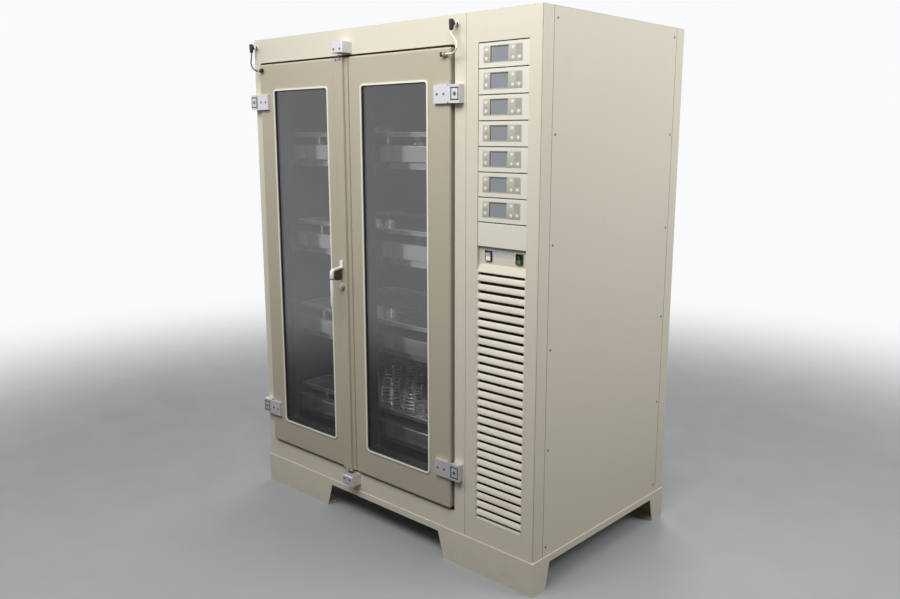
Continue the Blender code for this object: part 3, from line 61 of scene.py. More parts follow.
def makeCamera():
    view = {"place": (2.78343, -1.90516, 1.39656), "down": 10.996, "turn": 42.93}
    lens, sensor = 33.586, 36
    data = bpy.data.cameras.new("camera")
    data.sensor_width = sensor
    data.lens = lens
    camera = bpy.data.objects.new("camera", data)
    camera.location = at(*view["place"])
    camera.rotation_euler = (math.radians(90 - view["down"]), 0, math.radians(view["turn"]))
    bpy.context.scene.collection.objects.link(camera)
    bpy.context.scene.camera = camera


def makeLamp(name, place, aim, size, power):
    data = bpy.data.lights.new(name, "AREA")
    data.shape = "RECTANGLE"
    data.size, data.size_y = size
    data.energy = power
    lamp = bpy.data.objects.new(name, data)
    lamp.location = place
    lamp.rotation_euler = (Vector(aim) - Vector(place)).to_track_quat("-Z", "Y").to_euler()
    bpy.context.scene.collection.objects.link(lamp)


# A maths node on a value, with a number or another value
def calculate(tree, operation, value, other):
    node = tree.nodes.new("ShaderNodeMath")
    node.operation = operation
    tree.links.new(value, node.inputs[0])
    if isinstance(other, (int, float)):
        node.inputs[1].default_value = other
    else:
        tree.links.new(other, node.inputs[1])
    return node.outputs[0]


# Bright where the camera or a reflection sees it, and dim as a source of light
def backdropLevel(tree):
    path = tree.nodes.new("ShaderNodeLightPath")
    last = path.outputs["Is Camera Ray"]
    for name in ("Is Transmission Ray", "Is Glossy Ray"):
        last = calculate(tree, "MAXIMUM", last, path.outputs[name])
    level = tree.nodes.new("ShaderNodeMapRange")
    level.inputs["To Min"].default_value = backdrop["asLight"]
    level.inputs["To Max"].default_value = backdrop["asSeen"]
    tree.links.new(last, level.inputs["Value"])
    return level.outputs["Result"]


def makeStudio():
    # Where each lamp is, what it aims at, its two sides and its power
    lights = {
        "ceiling": ((0.6, -1.9, 3.02), (0.1, -0.2, 1.45), (2.6, 1.4), 72),
        "side": ((2.9, 0.9, 2.85), (0.6, 0.2, 1.6), (1.5, 1.5), 60),
        "back": ((-1.8, 3.0, 2.9), (-0.2, 0.4, 1.0), (2.2, 1.6), 46),
        "left": ((-2.5, -2.6, 3.4), (0.0, -0.3, 0.9), (1.8, 1.4), 24),
    }
    for name, (place, aim, size, power) in lights.items():
        makeLamp(name, place, aim, size, power)
    world = bpy.data.worlds.new("studio")
    bpy.context.scene.world = world
    world.use_nodes = True
    tree = world.node_tree
    tree.links.new(backdropLevel(tree), tree.nodes["Background"].inputs["Strength"])
    tree.nodes["Background"].inputs["Color"].default_value = backdrop["colour"]

    ground = {
        "half": 12, "fadeFrom": 1.5, "fadeTo": 4.8,
        "asLight": (0.05, 0.05, 0.053), "asSeen": (0.36, 0.37, 0.38),
    }
    bm = bmesh.new()
    bmesh.ops.create_grid(bm, x_segments=1, y_segments=1, size=ground["half"])
    mesh = bpy.data.meshes.new("floor")
    bm.to_mesh(mesh)
    bm.free()
    floor = bpy.data.objects.new("floor", mesh)
    bpy.context.scene.collection.objects.link(floor)
    look = Shader("floorPaint", ground["asLight"], 0.6)
    look.roughen(look.noise(6, detail=4), 0.5, 0.66)
    tree = look.tree
    path = tree.nodes.new("ShaderNodeLightPath")
    look.blendTo(ground["asSeen"], path.outputs["Is Camera Ray"])
    glow = tree.nodes.new("ShaderNodeEmission")
    glow.inputs["Color"].default_value = backdrop["colour"]
    look.link(backdropLevel(tree), glow.inputs["Strength"])
    reach = tree.nodes.new("ShaderNodeVectorMath")
    reach.operation = "LENGTH"
    look.link(look.coordinate, reach.inputs[0])
    fade = look.range(reach.outputs["Value"], ground["fadeFrom"], ground["fadeTo"], 0, 1)
    fade.node.interpolation_type = "SMOOTHERSTEP"
    both = tree.nodes.new("ShaderNodeMixShader")
    look.link(fade, both.inputs[0])
    look.link(look.main.outputs[0], both.inputs[1])
    look.link(glow.outputs[0], both.inputs[2])
    look.link(both.outputs[0], tree.nodes["Material Output"].inputs["Surface"])
    mesh.materials.append(look.material)
    bpy.context.scene.view_settings.view_transform = "Standard"


# sRGB 0-255 to the linear values that shaders take
def fromScreen(red, green, blue):
    shares = (red / 255, green / 255, blue / 255)
    return tuple(((c + 0.055) / 1.055) ** 2.4 if c > 0.04045 else c / 12.92 for c in shares)


# A material with short calls for the nodes that the finishes share
class Shader:
    def __init__(self, name, colour, roughness, metallic=0.0):
        self.material = bpy.data.materials.new(name)
        self.material.use_nodes = True
        self.tree = self.material.node_tree
        self.main = self.tree.nodes["Principled BSDF"]
        self.colour = colour
        self.main.inputs["Base Color"].default_value = (*colour, 1)
        self.main.inputs["Roughness"].default_value = roughness
        self.main.inputs["Metallic"].default_value = metallic
        self.coordinate = self.tree.nodes.new("ShaderNodeTexCoord").outputs["Object"]
        self.tint = None
        self.normal = None

    def link(self, a, b):
        self.tree.links.new(a, b)

    def noise(self, scale, detail=2, stretch=(1, 1, 1), rough=0.5):
        node = self.tree.nodes.new("ShaderNodeTexNoise")
        node.inputs["Scale"].default_value = scale
        node.inputs["Detail"].default_value = detail
        node.inputs["Roughness"].default_value = rough
        if stretch != (1, 1, 1):
            mapping = self.tree.nodes.new("ShaderNodeMapping")
            mapping.inputs["Scale"].default_value = stretch
            self.link(self.coordinate, mapping.inputs["Vector"])
            self.link(mapping.outputs["Vector"], node.inputs["Vector"])
        else:
            self.link(self.coordinate, node.inputs["Vector"])
        return node.outputs["Fac"]

    def axis(self, name):
        split = self.tree.nodes.new("ShaderNodeSeparateXYZ")
        self.link(self.coordinate, split.inputs["Vector"])
        return split.outputs[name]

    # 0 at the lower height and 1 at the higher one
    def height(self, low, high):
        return self.range(self.axis("Z"), low, high, 0, 1)

    # Distance to either side of a place along x
    def across(self, middle):
        return calculate(self.tree, "ABSOLUTE", calculate(self.tree, "SUBTRACT", self.axis("X"), middle), 0)

    def range(self, value, low, high, toLow, toHigh):
        node = self.tree.nodes.new("ShaderNodeMapRange")
        for key, number in (("From Min", low), ("From Max", high), ("To Min", toLow), ("To Max", toHigh)):
            node.inputs[key].default_value = number
        self.link(value, node.inputs["Value"])
        return node.outputs["Result"]

    # Lays a colour over what is there, by a mask
    def blendTo(self, colour, amount):
        node = self.tree.nodes.new("ShaderNodeMix")
        node.data_type = "RGBA"
        if self.tint is None:
            node.inputs["A"].default_value = (*self.colour, 1)
        else:
            self.link(self.tint, node.inputs["A"])
        node.inputs["B"].default_value = (*colour, 1)
        self.link(amount, node.inputs["Factor"])
        self.tint = node.outputs["Result"]
        self.link(self.tint, self.main.inputs["Base Color"])

    # The same in soft patches of a noise
    def mottle(self, screen, scale, detail, low, high, most, stretch=(1, 1, 1), rough=0.5):
        patches = self.range(self.noise(scale, detail, stretch, rough), low, high, 0, most)
        self.blendTo(fromScreen(*screen), patches)

    def roughen(self, value, low, high):
        self.link(self.range(value, 0.3, 0.7, low, high), self.main.inputs["Roughness"])

    def bump(self, value, strength, distance):
        node = self.tree.nodes.new("ShaderNodeBump")
        node.inputs["Strength"].default_value = strength
        node.inputs["Distance"].default_value = distance
        self.link(value, node.inputs["Height"])
        if self.normal is not None:
            self.link(self.normal, node.inputs["Normal"])
        self.normal = node.outputs["Normal"]
        self.link(self.normal, self.main.inputs["Normal"])


def powderCoat(name, screen, shade, dust):
    look = Shader(name, fromScreen(*screen), 0.46)
    look.mottle(shade, 1.7, 4, 0.40, 0.75, 0.35)
    look.mottle(dust, 14, 6, 0.62, 0.82, 0.07, (1, 1, 0.35), 0.65)
    low = look.range(look.height(0.0, 0.14), 0, 1, 1, 0)
    grime = look.range(look.noise(22, 6, rough=0.7), 0.40, 0.75, 0.0, 0.22)
    look.blendTo(fromScreen(*dust), calculate(look.tree, "MULTIPLY", low, grime))
    look.roughen(look.noise(30, 4), 0.42, 0.52)
    look.bump(look.noise(700, 2), 0.06, 0.0005)
    look.main.inputs["Specular IOR Level"].default_value = 0.40
    return look.material


def brushedMetal(name, screen, roughness, stretch, grain=0.06, metallic=1.0):
    look = Shader(name, fromScreen(*screen), roughness, metallic)
    lines = look.noise(260, 3, stretch)
    look.roughen(lines, roughness - 0.07, roughness + 0.09)
    look.blendTo(tuple(c * 0.78 for c in look.colour), look.range(look.noise(9, 5), 0.45, 0.8, 0, 0.35))
    look.bump(lines, grain, 0.0004)
    return look.material


# A plain finish with mottle's values, and a noise's scale and detail, strength and distance for a grain
def mottled(name, screen, roughness, patches, grain=None):
    look = Shader(name, fromScreen(*screen), roughness)
    look.mottle(*patches)
    if grain is not None:
        scale, detail, strength, distance = grain
        look.bump(look.noise(scale, detail), strength, distance)
    return look


def makeMaterials():
    made = {}
    for name, colours in {
        "cabinetPaint": ((219, 213, 195), (211, 204, 185), (150, 143, 124)),
        "doorPaint": ((186, 177, 157), (178, 168, 147), (120, 112, 96)),
        "modulePlastic": ((228, 225, 210), (221, 217, 201), (170, 164, 148)),
    }.items():
        made[name] = powderCoat(name, *colours)

    look = mottled("ivoryPlastic", (242, 238, 224), 0.38, ((228, 222, 203), 4, 4, 0.4, 0.75, 0.5))
    behindGlass = cabinet["frontY"] - 0.0075
    look.blendTo(fromScreen(58, 58, 60), look.range(look.axis("Y"), behindGlass, behindGlass + 0.0005, 0, 1))
    look.roughen(look.noise(60, 3), 0.32, 0.45)
    look.bump(look.noise(900, 2), 0.05, 0.0003)
    made["ivoryTrim"] = look.material

    look = mottled("louvrePlastic", (232, 226, 210), 0.42, ((205, 196, 176), 7, 5, 0.45, 0.8, 0.5, (1, 1, 3)))
    look.mottle((150, 140, 120), 80, 5, 0.62, 0.8, 0.25, (1, 1, 2), 0.7)
    look.roughen(look.noise(50, 3), 0.36, 0.52)
    look.bump(look.noise(600, 2), 0.06, 0.0004)
    made["louvrePlastic"] = look.material

    look = Shader("labelFilm", fromScreen(196, 195, 196), 0.35)
    look.blendTo(fromScreen(170, 174, 186), look.range(look.height(1.050, 1.0525), 0, 1, 0, 0.6))
    look.mottle((204, 200, 184), 40, 4, 0.4, 0.7, 0.5)
    made["labelFilm"] = look.material

    patches = ((130, 141, 139), 9, 2, 0.4, 0.7, 0.8, (1, 1, 2))
    look = mottled("displayGlass", (138, 141, 149), 0.22, patches, (1100, 1, 0.02, 0.0002))
    look.main.inputs["Coat Weight"].default_value = 0.3
    look.main.inputs["Coat Roughness"].default_value = 0.08
    made["displayGlass"] = look.material

    for name, values in {
        "keypadFilm": (
            (187, 185, 171), 0.40, ((176, 173, 158), 20, 4, 0.4, 0.75, 0.6), (1500, 2, 0.08, 0.0002),
        ),
        "filmPatch": ((170, 167, 153), 0.40, ((160, 156, 142), 30, 4, 0.4, 0.75, 0.6)),
        "keyRubber": ((232, 230, 219), 0.5, ((212, 208, 195), 120, 4, 0.5, 0.8, 0.5)),
        # Dark grey for strips by each display: painted shade of its recess
        "paintedDisplayShade": ((96, 97, 100), 0.5, ((80, 81, 84), 40, 4, 0.4, 0.8, 0.7)),
        "darkShadow": ((40, 33, 24), 0.8, ((62, 54, 42), 40, 4, 0.4, 0.8, 0.7)),
        "rubber": (
            (36, 35, 34), 0.62, ((66, 63, 60), 50, 5, 0.5, 0.8, 0.6, (1, 1, 1), 0.7), (300, 4, 0.15, 0.0004),
        ),
        "blackPlastic": ((26, 26, 27), 0.42, ((52, 50, 48), 80, 4, 0.55, 0.85, 0.5), (1200, 2, 0.10, 0.0003)),
        "whitePlastic": (
            (246, 245, 240), 0.30, ((222, 219, 208), 90, 4, 0.5, 0.8, 0.5), (1000, 1, 0.03, 0.0002),
        ),
    }.items():
        made[name] = mottled(name, *values).material

    # Colour, roughness, stretch of the brush marks, their depth and how metallic
    for name, values in {
        "stainless": ((172, 173, 177), 0.33, (0.04, 1, 1), 0.003, 0.8),
        "housingSteel": ((241, 241, 239), 0.14, (0.04, 1, 1), 0.008, 0.85),
        "platformMetal": ((226, 227, 226), 0.20, (0.03, 1, 1), 0.008, 0.75),
        "satinMetal": ((218, 216, 220), 0.37, (1, 1, 0.06), 0.03, 0.55),
        "dullMetal": ((198, 193, 179), 0.46, (1, 1, 0.1), 0.03, 0.55),
        # Dark metal for the handle's web and notch ring: painted shade under the arm and in the notch
        "handleShadeMetal": ((84, 79, 68), 0.50, (1, 0.1, 1), 0.05, 0.4),
        # Dark metal for the recessed line on each hinge block: painted shade
        "recessShadeMetal": ((92, 90, 92), 0.45, (1, 1, 0.1)),
        "darkSteel": ((120, 120, 122), 0.38, (1, 1, 0.1)),
        "handleMetal": ((247, 247, 246), 0.36, (1, 1, 0.06), 0.02, 0.2),
        "chrome": ((250, 250, 251), 0.20, (1, 1, 1), 0.02, 0.6),
        "springSteel": ((254, 254, 254), 0.18, (1, 1, 1), 0.02, 0.45),
    }.items():
        made[name] = brushedMetal(name, *values)

    look = Shader("greenLens", fromScreen(16, 46, 20), 0.24)
    lit = {"x": 1.2802, "full": 0.0012, "none": 0.0046}
    middle = look.range(look.across(lit["x"] - cabinet["halfWidth"]), lit["full"], lit["none"], 1, 0)
    look.blendTo(fromScreen(76, 126, 66), middle)
    look.roughen(look.noise(140, 2, (3, 1, 1)), 0.18, 0.30)
    look.main.inputs["Coat Weight"].default_value = 0.4
    made["greenLens"] = look.material

    look = Shader("windowGlass", fromScreen(40, 41, 46), 0.04)
    look.roughen(look.noise(5, 5), 0.02, 0.06)
    look.mottle((62, 64, 69), 3, 5, 0.5, 0.8, 0.5, (3, 1, 0.5))
    surface = {"Specular IOR Level": 1.0, "Coat Weight": 1.0, "Coat IOR": 2.4, "Coat Roughness": 0.02}
    surface["Alpha"] = 0.335
    for key, number in surface.items():
        look.main.inputs[key].default_value = number
    made["glass"] = look.material
    return made


# Shades faces smooth and keeps edges sharper than the angle
def smoothOver(bm, angle=40):
    bmesh.ops.recalc_face_normals(bm, faces=bm.faces)
    for face in bm.faces:
        face.smooth = True
    for edge in bm.edges:
        if len(edge.link_faces) == 2 and edge.calc_face_angle(0) > math.radians(angle):
            edge.smooth = False


def meshOf(bm, name):
    smoothOver(bm)
    mesh = bpy.data.meshes.new(name)
    bm.to_mesh(mesh)
    bm.free()
    return mesh


def addPiece(name, bm, material, body, replaces=(), ride=True):
    return addMesh(name, meshOf(bm, name), material, body, replaces, ride)


def addMesh(name, mesh, material, body, replaces=(), ride=True):
    piece = bpy.data.objects.new(name, mesh)
    bpy.context.scene.collection.objects.link(piece)
    if material is not None:
        mesh.materials.clear()
        mesh.materials.append(material)
    if ride:
        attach(piece, body)
    if replaces:
        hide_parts(*replaces)
    return piece


# A block between two corners in cabinet coordinates, with rounded edges
def addBox(bm, low, high, bevel=0.0, steps=2):
    low, high = at(*low), at(*high)
    part = bmesh.new()
    size = high - low
    place = Matrix.Translation((low + high) / 2) @ Matrix.Diagonal((*size, 1))
    bmesh.ops.create_cube(part, size=1, matrix=place)
    if bevel:
        bmesh.ops.bevel(part, geom=part.edges[:], offset=bevel, segments=steps, profile=0.5, affect="EDGES")
    absorb(bm, part)


# A new mesh of boxes between two depths, each given by x0, x1, z0, z1
def slabs(front, back, bevel, steps, *boxes):
    bm = bmesh.new()
    for x0, x1, z0, z1 in boxes:
        addBox(bm, (x0, front, z0), (x1, back, z1), bevel, steps)
    return bm


def absorb(bm, part):
    mesh = bpy.data.meshes.new("part")
    part.to_mesh(mesh)
    part.free()
    bm.from_mesh(mesh)
    bpy.data.meshes.remove(mesh)


# (y, z) points run across from one x to another
def addPrism(bm, profile, x0, x1):
    ends = [[bm.verts.new(at(x, y, z)) for y, z in profile] for x in (x0, x1)]
    for i in range(len(profile)):
        j = (i + 1) % len(profile)
        bm.faces.new([ends[0][i], ends[0][j], ends[1][j], ends[1][i]])
    bm.faces.new(ends[0][::-1])
    bm.faces.new(ends[1])


# A direction at right angles to the given one
def squareTo(direction):
    helper = Vector((1, 0, 0)) if abs(direction.x) < 0.9 else Vector((0, 0, 1))
    return direction.cross(helper).normalized()


# Points of a circle round a centre, by its two axes
def circle(centre, first, second, radius, sides):
    turns = [math.tau * i / sides for i in range(sides)]
    return [centre + (first * math.cos(t) + second * math.sin(t)) * radius for t in turns]


# Turns (distance along, radius) points round a line. Closed where the radius is 0 at both ends
def addLathe(bm, profile, origin, direction, sides=24):
    direction = Vector(direction).normalized()
    across = squareTo(direction)
    upward = direction.cross(across)
    rings = []
    part = bmesh.new()
    for along, radius in profile:
        centre = Vector(origin) + direction * along
        if radius < 1e-7:
            rings.append([part.verts.new(centre)])
            continue
        rings.append([part.verts.new(spot) for spot in circle(centre, across, upward, radius, sides)])
    for a, b in zip(rings, rings[1:]):
        for i in range(sides):
            j = (i + 1) % sides
            corners = list(dict.fromkeys([a[i % len(a)], a[j % len(a)], b[j % len(b)], b[i % len(b)]]))
            if len(corners) > 2:
                part.faces.new(corners)
    absorb(bm, part)


# A round tube through points, with a radius at each
def addTube(bm, points, radii, sides=14):
    if not hasattr(radii, "__len__"):
        radii = [radii] * len(points)
    part = bmesh.new()
    rings = []
    normal = None
    for i, point in enumerate(points):
        ahead = points[min(i + 1, len(points) - 1)] - points[max(i - 1, 0)]
        tangent = ahead.normalized()
        if normal is None:
            normal = squareTo(tangent)
        normal = (normal - tangent * normal.dot(tangent)).normalized()
        side = tangent.cross(normal)
        rings.append([part.verts.new(spot) for spot in circle(point, normal, side, radii[i], sides)])
    for a, b in zip(rings, rings[1:]):
        for k in range(sides):
            part.faces.new([a[k], a[(k + 1) % sides], b[(k + 1) % sides], b[k]])
    part.faces.new(rings[0][::-1])
    part.faces.new(rings[-1])
    absorb(bm, part)


# Catmull-Rom points through the given ones
def smoothRun(points, perSpan):
    ends = [2 * points[0] - points[1], *points, 2 * points[-1] - points[-2]]
    run = []
    for i in range(1, len(ends) - 2):
        a, b, c, d = ends[i - 1:i + 3]
        for step in range(perSpan):
            t = step / perSpan
            square, cube = 2 * a - 5 * b + 4 * c - d, 3 * b - a - 3 * c + d
            run.append(0.5 * (2 * b + (c - a) * t + square * t**2 + cube * t**3))
    return run + [points[-1]]


def newTree(name, inputs):
    tree = bpy.data.node_groups.new(name, "GeometryNodeTree")
    tree.interface.new_socket("Geometry", in_out="INPUT", socket_type="NodeSocketGeometry")
    for label, kind, value in inputs:
        socket = tree.interface.new_socket(label, in_out="INPUT", socket_type=kind)
        if value is not None:
            socket.default_value = value
    tree.interface.new_socket("Geometry", in_out="OUTPUT", socket_type="NodeSocketGeometry")
    return tree, tree.nodes.new("NodeGroupInput"), tree.nodes.new("NodeGroupOutput")


def placeOn(tree, points, shape):
    spread = tree.nodes.new("GeometryNodeInstanceOnPoints")
    tree.links.new(points, spread.inputs["Points"])
    tree.links.new(shape, spread.inputs["Instance"])
    return spread


# Makes instances real, paints them and hands them out
def closeTree(tree, source, result, instances):
    real = tree.nodes.new("GeometryNodeRealizeInstances")
    tree.links.new(instances, real.inputs["Geometry"])
    paint = tree.nodes.new("GeometryNodeSetMaterial")
    tree.links.new(real.outputs["Geometry"], paint.inputs["Geometry"])
    tree.links.new(source.outputs["Material"], paint.inputs["Material"])
    tree.links.new(paint.outputs["Geometry"], result.inputs["Geometry"])
    return tree


# Repeats the incoming shape up a line: Count times, Pitch apart
def makeStackTree():
    tree, source, result = newTree("stackOfRows", [
        ("Count", "NodeSocketInt", 8), ("Pitch", "NodeSocketFloat", 0.05),
        ("Material", "NodeSocketMaterial", None),
    ])
    link = tree.links.new
    offset = tree.nodes.new("ShaderNodeCombineXYZ")
    link(source.outputs["Pitch"], offset.inputs["Z"])
    line = tree.nodes.new("GeometryNodeMeshLine")
    link(source.outputs["Count"], line.inputs["Count"])
    link(offset.outputs["Vector"], line.inputs["Offset"])
    spread = placeOn(tree, line.outputs["Mesh"], source.outputs["Geometry"])
    return closeTree(tree, source, result, spread.outputs["Instances"])


# Puts a domed screw on every point, facing along its aim attribute, with a dark disc of painted shade for its
# drive recess
def makeScrewTree():
    tree, source, result = newTree("screwsOnPoints", [
        ("Head Radius", "NodeSocketFloat", 0.004), ("Head Height", "NodeSocketFloat", 0.0016),
        ("Material", "NodeSocketMaterial", None), ("Recess Shade", "NodeSocketMaterial", None),
    ])
    link = tree.links.new

    def scaled(value, factor):
        return calculate(tree, "MULTIPLY", value, factor)

    def cone(low, top, depth, lift, material, sides):
        node = tree.nodes.new("GeometryNodeMeshCone")
        node.inputs["Vertices"].default_value = sides
        link(low, node.inputs["Radius Bottom"])
        link(top, node.inputs["Radius Top"])
        link(depth, node.inputs["Depth"])
        move = tree.nodes.new("GeometryNodeTransform")
        if lift is not None:
            offset = tree.nodes.new("ShaderNodeCombineXYZ")
            link(lift, offset.inputs["Z"])
            link(offset.outputs["Vector"], move.inputs["Translation"])
        link(node.outputs["Mesh"], move.inputs["Geometry"])
        paint = tree.nodes.new("GeometryNodeSetMaterial")
        link(move.outputs["Geometry"], paint.inputs["Geometry"])
        link(material, paint.inputs["Material"])
        return paint.outputs["Geometry"]

    radius, height = source.outputs["Head Radius"], source.outputs["Head Height"]
    metal, recessShade = source.outputs["Material"], source.outputs["Recess Shade"]
    half, shoulder, recess = scaled(height, 0.5), scaled(radius, 0.93), scaled(radius, 0.40)
    both = tree.nodes.new("GeometryNodeJoinGeometry")
    for shape in (
        cone(radius, shoulder, half, None, metal, 14),
        cone(shoulder, scaled(radius, 0.55), half, half, metal, 14),
        cone(recess, recess, scaled(height, 0.06), scaled(height, 0.98), recessShade, 4),
    ):
        link(shape, both.inputs["Geometry"])
    aim = tree.nodes.new("GeometryNodeInputNamedAttribute")
    aim.data_type = "FLOAT_VECTOR"
    aim.inputs["Name"].default_value = "aim"
    turn = tree.nodes.new("FunctionNodeAlignRotationToVector")
    turn.axis = "Z"
    link(aim.outputs["Attribute"], turn.inputs["Vector"])
    spread = placeOn(tree, source.outputs["Geometry"], both.outputs["Geometry"])
    link(turn.outputs["Rotation"], spread.inputs["Rotation"])
    real = tree.nodes.new("GeometryNodeRealizeInstances")
    link(spread.outputs["Instances"], real.inputs["Geometry"])
    link(real.outputs["Geometry"], result.inputs["Geometry"])
    return tree


# Repeats the incoming shape over a flat grid: Columns by Rows, with its two pitches
def makeSpreadTree():
    tree, source, result = newTree("gridOfShapes", [
        ("Columns", "NodeSocketInt", 4), ("Rows", "NodeSocketInt", 4),
        ("Width", "NodeSocketFloat", 0.5), ("Depth", "NodeSocketFloat", 0.3),
        ("Centre", "NodeSocketVector", None), ("Material", "NodeSocketMaterial", None),
    ])
    link = tree.links.new
    grid = tree.nodes.new("GeometryNodeMeshGrid")
    sockets = {"Columns": "Vertices X", "Rows": "Vertices Y", "Width": "Size X", "Depth": "Size Y"}
    for label, key in sockets.items():
        link(source.outputs[label], grid.inputs[key])
    spread = placeOn(tree, grid.outputs["Mesh"], source.outputs["Geometry"])
    move = tree.nodes.new("GeometryNodeTransform")
    link(spread.outputs["Instances"], move.inputs["Geometry"])
    link(source.outputs["Centre"], move.inputs["Translation"])
    return closeTree(tree, source, result, move.outputs["Geometry"])


# Runs a tree on a mesh and keeps the result as one plain piece
def runTree(name, tree, base, values, body, replaces=()):
    source = bpy.data.objects.new(name + "Source", base)
    bpy.context.scene.collection.objects.link(source)
    step = source.modifiers.new(name, "NODES")
    step.node_group = tree
    for item in tree.interface.items_tree:
        if item.item_type == "SOCKET" and item.in_out == "INPUT" and item.name in values:
            step[item.identifier] = values[item.name]
    bpy.context.view_layer.update()
    mesh = bpy.data.meshes.new_from_object(source.evaluated_get(bpy.context.evaluated_depsgraph_get()))
    bpy.data.objects.remove(source)
    bm = bmesh.new()
    bm.from_mesh(mesh)
    smoothOver(bm)
    bm.to_mesh(mesh)
    bm.free()
    return addMesh(name, mesh, None, body, replaces)


# Points with an aim each, for the screw tree
def pointsMesh(name, points):
    mesh = bpy.data.meshes.new(name)
    mesh.from_pydata([place for place, _ in points], [], [])
    aim = mesh.attributes.new("aim", "FLOAT_VECTOR", "POINT")
    for i, (_, direction) in enumerate(points):
        aim.data[i].vector = direction
    return mesh


def paintNodes(looks):
    finishes = {
        "cabinetPaint": ["base_plinth", "door_frame", "column_fascia", "left_side_panel", "right_side_panel",
                         "top_panel", "rear_panel"],
        "doorPaint": ["left_door", "right_door", "lock_rod_cover"],
        "modulePlastic": ["blank_module"] + [f"display_module_{i}" for i in range(1, 8)],
        "ivoryTrim": ["left_window_trim", "right_window_trim"],
        "louvrePlastic": ["louvre_grille"],
        "glass": ["left_glass", "right_glass"],
        "rubber": ["left_door_gasket", "right_door_gasket", "left_door_lead"],
        "dullMetal": ["key_cylinder"],
        "satinMetal": ["door_handle", "top_keeper", "bottom_keeper"]
        + [f"{side}_{level}_hinge_{part}" for side in ("left", "right") for level in ("top", "bottom")
           for part in ("leaf", "block")],
        "darkSteel": ["top_lock_rod", "bottom_lock_rod"] + [f"crank_{i}" for i in range(1, 5)],
        "stainless": ["chamber_liner"],
        "housingSteel": [f"drive_housing_{i}" for i in range(1, 5)],
        "platformMetal": ["circulation_fan"] + [f"platform_{i}" for i in range(1, 5)],
        "blackPlastic": ["left_lead_plug", "right_lead_plug", "compressor"],
        "whitePlastic": ["power_rocker", "right_door_lead"],
        "greenLens": ["lamp_rocker"],
    }
    for look, names in finishes.items():
        for name in names:
            data = nodes[name].data
            data.materials.clear()
            data.materials.append(looks[look])


def makeLouvre(looks, trees):
    slat = {"depth": 0.0118, "front": 0.0001, "stile": 0.0030, "height": 0.0190, "lift": 0.0007}
    c = columnSizes
    height, back = slat["height"], slat["depth"]
    x0, x1 = c["left"] + slat["stile"] * 0.4, c["right"] - slat["stile"] * 0.4
    lowest = c["louvreBottom"] + c["louvreSill"] + c["slatGap"] + slat["lift"]
    profile = [
        (back, height - 0.0030), (0.0088, height - 0.0012), (0.0066, height), (0.0048, height - 0.0002),
        (0.0034, height - 0.0016), (0.0020, height * 0.70), (0.0008, height * 0.42),
        (slat["front"], height * 0.22), (slat["front"], 0.0022), (0.0006, 0.0009), (0.0018, 0.0001),
        (0.0040, 0.0), (0.0046, 0.0010),
        (0.0040, 0.0024), (0.0034, height * 0.22), (0.0040, height * 0.42), (0.0052, height * 0.70),
        (0.0066, height - 0.0032), (back, height - 0.0052),
    ]
    bm = bmesh.new()
    addPrism(bm, [(y, lowest + z) for y, z in profile], x0, x1)
    runTree("louvreSlats", trees["stack"], meshOf(bm, "slat"), {
        "Count": c["slats"] - 1, "Pitch": c["slatPitch"], "Material": looks["louvrePlastic"],
    }, "cabinet", ["louvre_grille"])
    left, right, z0, z1 = c["left"], c["right"], c["louvreBottom"], c["louvreTop"]
    lastSlot = lowest - slat["lift"] + (c["slats"] - 1) * c["slatPitch"]
    bm = slabs(
        0.0002, back, 0.0008, 2,
        (left, left + slat["stile"], z0, z1), (right - slat["stile"], right, z0, z1),
        (left + 0.001, right - 0.001, z0, z0 + c["louvreSill"]), (left + 0.001, right - 0.001, lastSlot, z1),
    )
    addPiece("louvreFrame", bm, looks["louvrePlastic"], "cabinet")
    # A dark sheet behind the slats: painted shade seen through the slots
    bm = slabs(0.019, 0.0205, 0.0004, 2, (left - 0.003, right + 0.003, z0 - 0.002, z1 - 0.004))
    addPiece("louvreSlotShade", bm, looks["darkShadow"], "cabinet")


